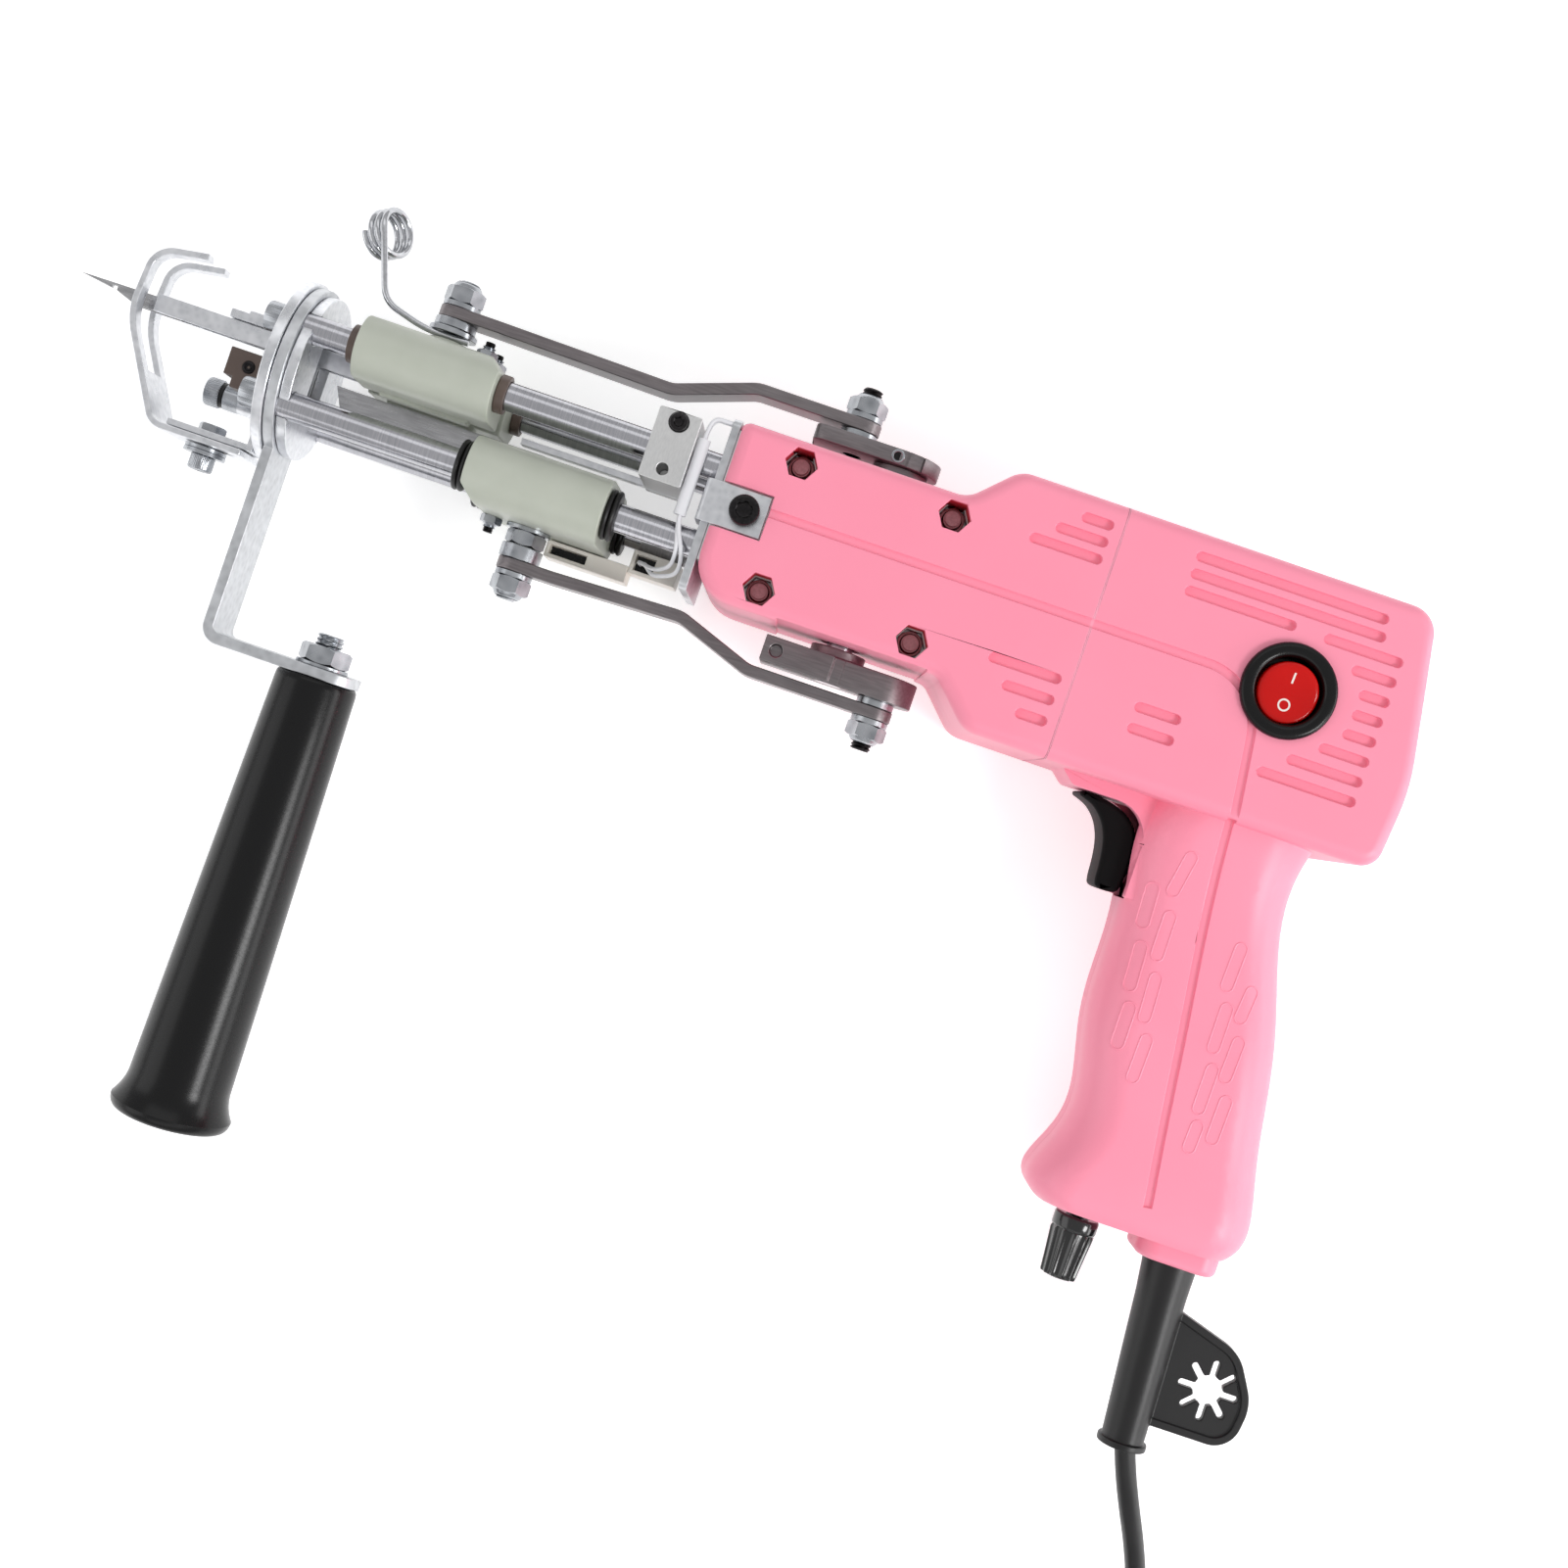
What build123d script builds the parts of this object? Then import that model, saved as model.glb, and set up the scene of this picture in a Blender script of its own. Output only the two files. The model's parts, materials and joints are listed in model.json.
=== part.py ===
"""Handheld tufting machine, lying on the flat right side of its housing.

X runs along the barrel from the needle (negative) to the rear end, Y runs across the barrel,
away from the grip, and Z runs through the two housing halves. The crank shaft's axis crosses the
barrel's axis above the origin, and Z is zero on the face that the machine lies on.
All lengths are in millimetres.
"""

from build123d import *
import math
import os

# Housing: two halves parted on the barrel's mid-plane
half_depth = 28.0
wall = 2.6
edge_round = 4.0
seat_gap = 0.3
head_front = -44.6
head_half_height = 24.3
motor_top = 35.7
motor_bottom = 36.0
top_shoulder_low = 19.5
top_shoulder_high = 31.0
bottom_shoulder_low = 27.0
bottom_shoulder_high = 38.5
rear_top_x = 150.0
rear_bulge_x = 158.4
rear_bulge_y = 12.0
rear_bottom_x = 156.2
head_corner_round = 2.5
chin_round = 12.0
shoulder_round = 8.0
foot_shoulder_round = 5.0
rear_top_round = 8.0
rear_bulge_round = 60.0
rear_bottom_round = 6.0
crank_relief_margin = 1.2

# Grip: each row is how far down, where the front and the rear lie, and how deep, as shares
grip_top = 28.0
grip_bottom = 151.6
grip_front = 96.5
grip_reach = 64.5
grip_half_depth = 18.0
grip_corner_share = 0.72
grip_section_shares = [
    (0.000, 0.008, 0.767, 1.44),
    (0.129, -0.031, 0.698, 1.17),
    (0.259, -0.008, 0.713, 1.02),
    (0.437, 0.017, 0.811, 1.00),
    (0.663, 0.067, 0.904, 1.00),
    (0.809, 0.095, 0.958, 1.00),
    (0.934, 0.008, 0.997, 1.03),
    (1.000, 0.078, 0.938, 0.89),
]

# Collar for the cord boot under the grip
collar_width = 24.0
collar_half_depth = 11.0
collar_height = 6.0
collar_round = 2.0

# Hood over the trigger, and the trigger
hood_front = 69.0
hood_step = 73.1
hood_drop = 3.6
hood_rear = 104.0
hood_half_depth = 13.0
hood_round = 2.5
trigger_tip_x = 77.1
trigger_face_x = 88.6
trigger_back_x = 96.4
trigger_lip = 2.4
trigger_height = 24.6
trigger_curve = 10.0
trigger_inner_curve = 7.0
trigger_corner_round = 1.2
trigger_half_width = 8.5
trigger_travel = 6.0
trigger_side_gap = 0.35

# Vent slots: centre, length and how many, as rows that step down the housing's side
slot_width = 2.8
slot_depth = 1.6
top_slot_y = 28.9
top_slot_pitch = 4.85
low_slot_y = 14.8
low_slot_pitch = 6.0
front_slot_right = 59.0
front_slot_lengths = [9.0, 14.8, 20.6]
middle_slot_left = 79.9
middle_slot_length = 13.1
long_slot_left = 82.6
long_slot_lengths = [54.6, 55.4, 31.6]
rear_slot_right = 144.6
rear_slot_lengths = [22.4, 12.6, 8.6, 8.6, 9.4, 14.2, 21.4, 28.0]
rear_slot_top = 19.0
rear_slot_pitch = 5.66

# Groove from the head along the barrel and down the grip
groove_width = 2.4
groove_depth = 0.9
groove_y = 2.4
groove_turn_x = 110.2
groove_end_x = 129.2
groove_end_y = 143.0
groove_round = 17.0
seam_x = 62.0
seam_width = 0.5
seam_depth = 0.35
ledge_front = -19.0
ledge_rear = 24.0
ledge_depth = 0.8

# Screws and nuts that hold the halves and the gear head together
screw_front_x = -26.0
screw_rear_x = 17.6
screw_y = 17.9
screw_radius = 2.0
screw_head_radius = 3.4
screw_head_height = 3.2
screw_seat = 22.4
screw_end_beyond_nut = 1.4
nut_flats = 7.0
nut_height = 5.0
nut_seat = 14.6
pocket_flats = 8.0
pocket_wall = 0.8
frame_pocket_flats = 7.4
fit = 0.05

# Gear head: frame, front plate, corner bracket
frame_rear = 25.5
plate_thickness = 2.4
plate_half_depth = 25.0
bracket_width = 11.8
bracket_y = 0.7
bracket_length = 14.6
bracket_thickness = 1.6
bracket_lap = 12.0
bracket_gap = 0.4
bracket_screw_x = -36.4
bracket_screw_radius = 2.5
bracket_screw_head_radius = 4.2
bracket_screw_head_height = 4.6
bracket_screw_key = 4.0
bracket_screw_length = 10.0

# Crank shaft, gear pair and bearings
stroke = 29.0
shaft_radius = 4.0
bearing_radius = 9.5
bearing_width = 6.0
bearing_out = 20.0
gear_module = 1.0
gear_teeth = 36
pinion_teeth = 12
tooth_width = 6.0
tooth_root_share = 0.62
tooth_tip_share = 0.22
tooth_addendum_share = 0.80
tooth_dedendum_share = 1.05
tooth_sunk_share = 1.60
gear_back = 3.0
gear_room = 1.0
shaft_hole_gap = 2.0

# Motor, rotor and fan
motor_shaft_radius = 3.0
motor_front = 34.0
motor_length = 56.0
motor_boss_radius = 11.0
motor_rear_boss = 6.0
fan_radius = 21.0
fan_hub_radius = 6.0
fan_blades = 9
fan_width = 8.0
fan_blade_thickness = 1.4
fan_gap = 2.0
motor_end_round = 2.0

# Crank arms
needle_crank_low = 28.9
needle_crank_high = 33.4
needle_crank_hub_radius = 11.5
needle_crank_tip_radius = 11.8
blade_crank_high = 27.2
blade_crank_low = 34.6
blade_crank_half_width = 9.8
blade_crank_tail = 20.5
blade_crank_band_left = 0.4
blade_crank_band_width = 3.1
blade_crank_band_depth = 0.4
crank_boss_radius = 8.0
crank_boss_gap = 0.4
set_screw_radius = 1.8
set_screw_depth = 3.0
needle_set_screw_x = 2.0
blade_set_screw_x = 16.7
crank_bolt_radius = 3.0
crank_nut_flats = 10.0
crank_nut_height = 5.6
crank_washer_radius = 5.4
crank_washer_height = 1.6
crank_bolt_tip = 2.1

# Connecting rods: bent bars, wide in Z
rod_half_width = 5.6
rod_thickness = 3.4
needle_rod_length = 118.0
blade_rod_length = 108.7
needle_rod_front_y = 30.2
needle_rod_bend_y = 29.4
needle_rod_rear_y = 37.4
needle_rod_bend_front_x = -68.0
needle_rod_bend_rear_x = -45.2
blade_rod_front_y = 31.6
blade_rod_bend_y = 30.2
blade_rod_rear_y = 38.3
blade_rod_bend_front_x = -45.2
blade_rod_bend_rear_x = -22.8
rod_bend_round = 9.0
rod_nut_height = 6.0
rod_collar_radius = 6.0
pin_gap = 0.3
rod_bolt_tip = 0.6

# Guide rods and sliders
guide_radius = 4.0
guide_y = 10.9
guide_z = 17.0
guide_seat = 14.0
running_gap = 0.06
needle_pin_lead = 18.5
blade_pin_lead = 18.0
slider_length = 39.4
needle_slider_half_height = 8.9
blade_slider_half_height = 9.3
slider_chamfer = 4.2
slider_pin_radius = 3.0
needle_boss_radius = 6.5
needle_boss_height = 2.4
eyelet_washer_radius = 7.0
eyelet_washer_height = 1.5
keel_lead = 6.0
keel_length = 26.0
keel_drop = 1.1
keel_half_width = 8.0
blade_pin_washer_radius = 6.5
blade_pin_washer_height = 1.3
blade_pin_head_height = 4.1
needle_ring_radius = 5.4
needle_ring_width = 2.8
blade_ring_radius = 7.2
blade_ring_width = 3.2
ring_gap = 0.1
slider_screw_radius = 1.5
slider_screw_head_radius = 2.6
slider_screw_head_height = 1.6

# Needle bar, needle, blade bar
needle_bar_half_width = 2.5
needle_bar_low = 3.6
needle_bar_height = 5.1
needle_bar_wall = 0.8
needle_bar_ahead = 40.9
needle_bar_seat = 26.0
needle_tip_ahead = 64.7
needle_tip_y = 7.7
needle_throat_ahead = 46.7
needle_heel_ahead = 53.7
needle_heel_y = 6.0
needle_seat = 8.0
needle_side_gap = 0.05
blade_bar_behind = 14.8
blade_bar_top = 0.4
blade_bar_height = 6.4
blade_bar_half_thickness = 1.5
blade_bar_seat = 16.0
blade_bar_nose = 3.0

# Front discs, handle bracket, side handle
disc_lead = 40.8
disc_thickness = 3.0
disc_gap = 0.1
front_disc_radius = 26.0
ring_radius = 25.0
rear_disc_radius = 23.5
strap_thickness = 3.1
strap_half_width = 10.0
strap_leg_y = 78.2
strap_end_behind = 47.1
strap_bend_round = 3.6
strap_end_round = 6.0
window_half_width = 6.5
window_low = 8.0
window_high = 12.0
rod_screw_head_radius = 4.2
rod_screw_head_height = 5.0
rod_screw_radius = 2.5
rod_screw_length = 12.0
rod_screw_key = 4.0
key_depth = 2.6
handle_behind = 36.1
handle_top_radius = 11.65
handle_low_radius = 14.4
handle_flare_radius = 17.1
handle_length = 131.6
handle_flare_height = 4.4
handle_flare_y_share = 0.91
handle_gap = 0.1
handle_end_round = 4.0
handle_neck_round = 6.0
stud_radius = 4.0
stud_depth = 30.0
stud_top = 67.0
stud_nut_flats = 13.0
stud_nut_height = 5.0
stud_washer_radius = 7.6
stud_washer_height = 1.0

# Presser foot, its bracket and bolt
foot_half_width = 10.3
foot_gap_half_width = 5.3
foot_thickness = 1.8
foot_plate_y = 27.0
foot_rear_ahead = 2.3
foot_heel_ahead = 28.7
foot_knee_ahead = 44.1
foot_knee_y = 0.5
foot_brow_ahead = 42.7
foot_brow_y = 19.4
foot_end_ahead = 27.9
foot_end_y = 21.7
foot_heel_round = 5.0
foot_knee_round = 20.0
foot_brow_round = 7.0
foot_slit_start_y = 13.0
foot_travel = 6.0
foot_bolt_ahead = 14.9
foot_bolt_radius = 2.0
foot_bolt_head_radius = 3.5
foot_bolt_head_height = 4.4
foot_washer_radius = 6.0
foot_washer_height = 1.2
foot_bracket_ahead = 25.2
foot_bracket_thickness = 1.8
foot_bracket_half_width = 8.0
foot_bracket_tab = 13.0
foot_nut_height = 2.4

# Guide blocks, stop post and strip at the front
blade_block_ahead = 15.9
blade_block_half_width = 4.5
blade_block_low = 6.9
blade_block_high = 1.1
blade_block_base_low = 10.0
blade_block_base_ahead = 13.2
blade_slot_gap = 0.3
needle_block_ahead = 19.5
needle_block_step_ahead = 14.3
needle_block_high = 12.3
needle_block_step_high = 11.4
needle_block_half_width = 4.0
needle_block_gap = 0.2
post_radius = 3.9
post_length = 15.2

# Clamp block, centre strip, connectors and wires
clamp_front = -67.2
clamp_width = 12.2
clamp_low = 1.1
clamp_high = 21.0
clamp_z_low = -4.0
clamp_z_high = 26.0
clamp_round = 0.8
clamp_screw_x = -61.0
clamp_screw_y = 18.0
clamp_screw_radius = 1.5
clamp_screw_head_radius = 2.6
clamp_screw_head_height = 3.0
clamp_screw_key = 2.2
clamp_screw_length = 9.0
clamp_screw_proud = 1.0
tapped_hole_x = -61.2
tapped_hole_y = 4.6
tapped_hole_radius = 1.65
tapped_hole_depth = 12.0
strip_front = -104.0
strip_half_width = 2.2
strip_low = 1.4
strip_height = 1.9
channel_half_width = 3.1
channel_high = 9.0
connector_x = -65.0
connector_length = 14.0
connector_height = 7.0
connector_plug_length = 24.5
connector_plug_height = 5.0
connector_z = -15.0
connector_half_width = 6.5
connector_mouth_depth = 4.0
connector_wall = 1.2
sleeve_x = -53.1
sleeve_radius = 1.75
sleeve_top = 16.2
sleeve_bottom = 5.4
wire_radius = 0.6
wire_spread = 0.9
wire_bend = 3.2
wire_route = [
    (-49.8, -15.0, 23.0),
    (-50.0, -20.0, 19.0),
    (-56.0, -21.6, 9.0),
]

# Rocker switch
switch_gap = 1.8
switch_y = 2.2
bezel_radius = 13.2
bezel_height = 2.2
bezel_inner_radius = 9.2
bezel_round = 0.8
switch_body_radius = 9.9
switch_body_depth = 18.0
rocker_radius = 8.4
rocker_depth = 7.0
rocker_tilt = 14.0
rocker_axle_drop = 4.5
rocker_crown = 1.6

# Speed control and its knob
knob_x = 115.7
knob_top_radius = 6.5
knob_end_radius = 5.0
knob_length = 18.2
knob_ribs = 12
knob_rib_radius = 0.55
knob_rim = 4.0
knob_gap = 0.3
bush_radius = 3.4
bush_length = 2.0
pot_radius = 8.0
pot_height = 8.0
pot_shaft_radius = 2.0

# Trigger switch and control board inside the grip
trigger_switch_front = 103.4
trigger_switch_length = 22.0
trigger_switch_top = 44.0
trigger_switch_height = 16.0
trigger_switch_half_width = 6.0
board_left = 116.0
board_width = 15.0
board_top = 80.0
board_length = 44.0
board_thickness = 1.6
board_block_height = 9.0
board_block_share = 0.35

# Cord boot with its key-holder flap
boot_x = 144.2
boot_tilt = 3.8
boot_inside = 5.6
boot_top_radius = 7.8
boot_waist_radius = 7.15
boot_end_radius = 6.05
boot_flange_radius = 7.05
boot_waist_at = 10.0
boot_length = 54.0
boot_flange_length = 1.9
flap_top_x = 148.0
flap_top_y = 168.9
flap_crown_x = 171.5
flap_crown_y = 176.0
flap_side_x = 179.2
flap_side_y = 189.0
flap_foot_x = 177.4
flap_foot_y = 203.2
flap_low_x = 149.5
flap_low_y = 203.4
flap_crown_round = 12.0
flap_side_round = 14.0
flap_foot_round = 8.0
flap_half_thickness = 1.3
flap_rim_half_thickness = 2.1
flap_rim_width = 2.2
star_x = 166.4
star_y = 188.9
star_radius = 4.3
star_reach = 8.8
star_ray_width = 1.9
star_rays = 8

# Cord, coil and plug
cord_radius = 3.0
cord_route = [
    (148.6, -209.0, 0.0),
    (151.6, -217.0, -1.2),
    (157.1, -228.0, -5.0),
    (165.0, -241.5, -13.2),
    (172.5, -257.0, -21.5),
    (181.5, -276.0, -25.0),
    (189.3, -293.2, -25.0),
    (196.2, -309.2, -25.0),
]
coil_turns = 4.5
coil_outer_radius = 46.0
coil_turn_pitch = 6.5
coil_layer_pitch = 6.5
cord_sides = 8
plug_lead = 40.0
plug_grip_length = 24.0
plug_grip_half_width = 8.0
plug_body_length = 17.0
plug_body_half_width = 17.5
plug_pin_radius = 2.4
plug_pin_length = 19.0
plug_pin_spread = 9.5
plug_round = 3.5

# Yarn eyelet of bent wire
eyelet_wire_radius = 0.95
eyelet_foot_z = 4.2
eyelet_foot_lead = 6.0
eyelet_bend_lead = 7.0
eyelet_heel_lead = 20.2
eyelet_heel_y = 26.9
eyelet_lead = 27.0
eyelet_y = 46.5
eyelet_coil_radius = 6.2
eyelet_tilt = 60.0
eyelet_turn_pitch = 2.4
eyelet_turns = 3.0
eyelet_foot_round = 8.0
eyelet_heel_round = 3.6

# Worked out from the values above
overrun = 1.0
crank_radius = stroke / 2
needle_pin_x = -crank_radius - needle_rod_length
blade_pin_x = crank_radius - blade_rod_length
needle_slider_front = needle_pin_x - needle_pin_lead
blade_slider_front = blade_pin_x - blade_pin_lead
keel_front = needle_slider_front + keel_lead
disc_front = needle_pin_x - disc_lead
needle_bar_front = disc_front - needle_bar_ahead
needle_tip_x = disc_front - needle_tip_ahead
needle_throat_x = disc_front - needle_throat_ahead
needle_heel_x = disc_front - needle_heel_ahead
foot_rear_x = disc_front - foot_rear_ahead
foot_heel_x = disc_front - foot_heel_ahead
foot_knee_x = disc_front - foot_knee_ahead
foot_brow_x = disc_front - foot_brow_ahead
foot_end_x = disc_front - foot_end_ahead
foot_bolt_x = disc_front - foot_bolt_ahead
foot_bracket_front = disc_front - foot_bracket_ahead
blade_block_front = disc_front - blade_block_ahead
blade_block_base_front = disc_front - blade_block_base_ahead
needle_block_front = disc_front - needle_block_ahead
needle_block_step = disc_front - needle_block_step_ahead
blade_bar_front = disc_front + blade_bar_behind
strap_end_x = disc_front + strap_end_behind
handle_x = disc_front + handle_behind
eyelet_foot_start = needle_pin_x + eyelet_foot_lead
eyelet_foot_bend = needle_pin_x - eyelet_bend_lead
eyelet_heel_x = needle_pin_x - eyelet_heel_lead
eyelet_x = needle_pin_x - eyelet_lead
fan_front = motor_front + motor_length + motor_rear_boss + fan_gap
switch_x = fan_front + fan_width + switch_body_radius + switch_gap
frame_half_height = head_half_height - wall - seat_gap
frame_half_depth = half_depth - wall - seat_gap
nose_low = guide_y + guide_radius + seat_gap
connector_top = guide_y + guide_radius + seat_gap
sleeve_z = guide_z + guide_radius + sleeve_radius + seat_gap
motor_radius = frame_half_depth
trigger_top = motor_bottom + hood_drop + seat_gap
handle_top = strap_leg_y + strap_thickness / 2 + handle_gap
needle_slider_top = guide_y + needle_slider_half_height
blade_slider_bottom = guide_y + blade_slider_half_height
eyelet_foot_y = needle_slider_top + needle_boss_height + eyelet_wire_radius + fit
washer_low = eyelet_foot_y + eyelet_wire_radius + fit
washer_top = washer_low + eyelet_washer_height
blade_head_low = blade_slider_bottom + blade_pin_washer_height + blade_pin_head_height


# Shapes used by many pieces
def facing(axis, at):
    """A place at a point, turned so that its own Z runs along the named axis."""
    x_dir, z_dir = {
        "x": ((0, 1, 0), (1, 0, 0)),
        "y": ((0, 0, 1), (0, 1, 0)),
        "z": ((1, 0, 0), (0, 0, 1)),
    }[axis]
    return Plane(origin=at, x_dir=x_dir, z_dir=z_dir)


def cylinder(axis, at, radius, length):
    """A cylinder that starts at a point and runs along the axis; a negative length runs back."""
    low = Align.MIN if length > 0 else Align.MAX
    return facing(axis, at) * Cylinder(radius, abs(length), align=(Align.CENTER, Align.CENTER, low))


def tube(axis, at, outer, inner, length):
    """A cylinder with a bore right through it."""
    return cylinder(axis, at, outer, length) - cylinder(axis, at, inner, length)


def hexagon(axis, at, flats, length):
    """A hexagonal prism, by the width across its flats."""
    outline = RegularPolygon(flats / 2, 6, major_radius=False)
    return extrude(facing(axis, at) * outline, length)


def block(low, high):
    """A box between two corners."""
    size = [b - a for a, b in zip(low, high)]
    middle = [(a + b) / 2 for a, b in zip(low, high)]
    return Pos(*middle) * Box(*size)


def slab(face, low, high):
    """A flat outline in XY, given thickness from one height to another."""
    return Pos(0, 0, low) * extrude(face, high - low)


def rounded_outline(corners):
    """A closed outline of straight runs, each corner an arc: rows of x, y and radius."""
    points = [(x, y) for x, y, radius in corners]
    return make_face(FilletPolyline(*points, radius=[r for x, y, r in corners], close=True))


def socket_screw(axis, at, shank_radius, shank_length, head_radius, head_height, key_flats, way):
    """A cap screw seated at a point: its head lies the given way along the axis."""
    shank = cylinder(axis, at, shank_radius, -way * shank_length)
    head = cylinder(axis, at, head_radius, way * head_height)
    step = [way * (head_height - key_depth) if axis == name else 0 for name in "xyz"]
    mouth = tuple(a + b for a, b in zip(at, step))
    return head + shank - hexagon(axis, mouth, key_flats, way * (key_depth + overrun))


# Housing
def housing_outline(inset):
    """The side view of head and motor, drawn in by a wall or a groove."""
    corners = [
        (head_front, head_half_height, head_corner_round),
        (top_shoulder_low, head_half_height, shoulder_round),
        (top_shoulder_high, motor_top, shoulder_round),
        (rear_top_x, motor_top, rear_top_round),
        (rear_bulge_x, -rear_bulge_y, rear_bulge_round),
        (rear_bottom_x, -motor_bottom, rear_bottom_round),
        (bottom_shoulder_high, -motor_bottom, shoulder_round),
        (bottom_shoulder_low, -head_half_height, foot_shoulder_round),
        (head_front, -head_half_height, chin_round),
    ]
    face = rounded_outline(corners)
    return offset(face, -inset, kind=Kind.INTERSECTION) if inset else face


def grip_section(row, inset):
    """One level of the grip: the half above the mid-plane, with two rounded corners."""
    down, front, rear, depth = row
    y = -grip_top - down * (grip_bottom - grip_top)
    left = grip_front + front * grip_reach + inset
    right = grip_front + rear * grip_reach - inset
    high = depth * grip_half_depth - inset
    corner = grip_corner_share * high
    plane = Plane(origin=(left, y, 0), x_dir=(1, 0, 0), z_dir=(0, -1, 0))
    width = right - left
    outline = Polyline((0, high - corner), (0, 0), (width, 0), (width, high - corner))
    bend = corner * (1 - math.sqrt(0.5))
    outline += ThreePointArc((width, high - corner), (width - bend, high - bend), (width - corner, high))
    outline += Line((width - corner, high), (corner, high))
    outline += ThreePointArc((corner, high), (bend, high - bend), (0, high - corner))
    return plane * make_face(outline)


def grip_half(inset):
    """The half of the grip above the mid-plane, lofted through its levels."""
    return loft([grip_section(row, inset) for row in grip_section_shares])


def hood_half(inset):
    """The fairing that runs from the motor's underside down behind the trigger."""
    drop = motor_bottom + hood_drop - inset
    top = motor_bottom - 2 * wall
    bottom = trigger_top + trigger_height
    back = trigger_back_x + seat_gap + inset
    curve = trigger_curve + seat_gap + inset
    corners = [
        (hood_front, -top, 0),
        (hood_front, -motor_bottom, hood_round),
        (hood_step, -drop, hood_round),
        (back, -drop, curve),
        (back, -bottom, 0),
        (hood_rear, -bottom, 0),
        (hood_rear, -top, 0),
    ]
    return slab(rounded_outline(corners), 0, hood_half_depth - inset)


def outer_half(inset):
    """Head, motor, hood and grip above the mid-plane, drawn in alike."""
    body = slab(housing_outline(inset), 0, half_depth - inset)
    if not inset:
        rim = body.faces().sort_by(Axis.Z)[-1].outer_wire().edges()
        body = fillet(rim, edge_round)
    floor = block((0, -grip_bottom - overrun, -overrun), (2 * grip_front, -grip_bottom + inset, 2 * half_depth))
    grip = grip_half(inset) - floor if inset else grip_half(0)
    return body + grip + hood_half(inset)


def collar_block():
    """The collar under the grip, as one rounded block across both halves."""
    plane = Plane(origin=(boot_x, -grip_bottom + wall, 0), x_dir=(1, 0, 0), z_dir=(0, -1, 0))
    profile = plane * RectangleRounded(collar_width, 2 * collar_half_depth, 3 * collar_round)
    body = extrude(profile, collar_height + wall)
    return fillet(body.faces().sort_by(Axis.Y)[0].outer_wire().edges(), collar_round)


def boot_place(down):
    """A place on the boot's axis, a given way down from the grip's foot."""
    lean = math.radians(boot_tilt)
    x = boot_x + down * math.sin(lean)
    y = -grip_bottom - down * math.cos(lean)
    return Plane(origin=(x, y, 0), x_dir=(0, 0, 1), z_dir=(math.sin(lean), -math.cos(lean), 0))


def vent_slot(left, y, length):
    """One blind slot in the housing's flat side."""
    face = Pos(left + length / 2, y) * SlotOverall(length, slot_width)
    return slab(face, half_depth - slot_depth, half_depth + overrun)


def vent_slots():
    """All the slots of one side."""
    slots = []
    for row, length in enumerate(front_slot_lengths):
        slots.append(vent_slot(front_slot_right - length, top_slot_y - row * top_slot_pitch, length))
    for row, length in enumerate(reversed(front_slot_lengths)):
        slots.append(vent_slot(front_slot_right - length, -low_slot_y - row * low_slot_pitch, length))
    for row in range(2):
        slots.append(vent_slot(middle_slot_left, -low_slot_y - row * low_slot_pitch, middle_slot_length))
    for row, length in enumerate(long_slot_lengths):
        slots.append(vent_slot(long_slot_left, top_slot_y - row * top_slot_pitch, length))
    for row, length in enumerate(rear_slot_lengths):
        y = rear_slot_top - row * rear_slot_pitch
        slots.append(vent_slot(rear_slot_right - length, y, length))
    return slots


def groove_prism():
    """The groove's width, right through the depth of one half."""
    path = FilletPolyline(
        (head_front - overrun, groove_y),
        (groove_turn_x, groove_y),
        (groove_end_x, -groove_end_y),
        radius=groove_round,
    )
    return slab(trace(path, groove_width), wall, half_depth + overrun)


def seam_ring():
    """The fine seam around the motor: a thin slice, less what lies deeper than the seam."""
    core = slab(housing_outline(seam_depth), 0, half_depth - seam_depth)
    core = fillet(core.faces().sort_by(Axis.Z)[-1].outer_wire().edges(), edge_round - seam_depth)
    slice_low = (seam_x - seam_width / 2, -grip_bottom, -overrun)
    slice_high = (seam_x + seam_width / 2, grip_bottom, half_depth + overrun)
    return block(slice_low, slice_high) - core


def screw_places():
    """The four screws through head and housing."""
    return [(x, y) for x in (screw_front_x, screw_rear_x) for y in (screw_y, -screw_y)]


def housing_half():
    """What both halves share, made above the mid-plane."""
    shell = outer_half(0) - (groove_prism() - outer_half(groove_depth))
    shell -= seam_ring()
    shell -= outer_half(wall)
    shell -= block((ledge_front, -head_half_height - overrun, -overrun),
                   (ledge_rear, -head_half_height + ledge_depth, half_depth + overrun))
    shell -= block((head_front - overrun, -nose_low - seat_gap, -overrun),
                   (head_front + wall + overrun, frame_half_height + seat_gap, half_depth - wall))
    shell += collar_block() & slab(Pos(boot_x, -grip_bottom) * Rectangle(*[2 * collar_width] * 2), 0, half_depth)
    for slot in vent_slots():
        shell -= slot
    bore = boot_place(-wall - overrun) * Cylinder(boot_top_radius + fit, 4 * collar_height)
    shell -= bore
    shell -= cylinder("y", (knob_x, -grip_bottom - overrun, 0), bush_radius + fit, wall + 2 * overrun)
    reach = crank_radius + needle_crank_tip_radius + crank_relief_margin
    depth = needle_crank_high + seat_gap - head_half_height
    shell += cylinder("y", (0, head_half_height - wall, 0), reach + wall, depth + 2 * wall) & outer_half(0)
    shell -= cylinder("y", (0, head_half_height, 0), reach, depth)
    shell -= cylinder("y", (0, -half_depth, 0), shaft_radius + shaft_hole_gap, 2 * half_depth)
    trigger_low = trigger_top + trigger_height + trigger_side_gap
    side = trigger_half_width + trigger_side_gap
    shell -= block((trigger_tip_x, -trigger_low, -side),
                   (trigger_back_x + trigger_travel + trigger_side_gap, -motor_bottom - hood_drop, side))
    return shell


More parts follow.
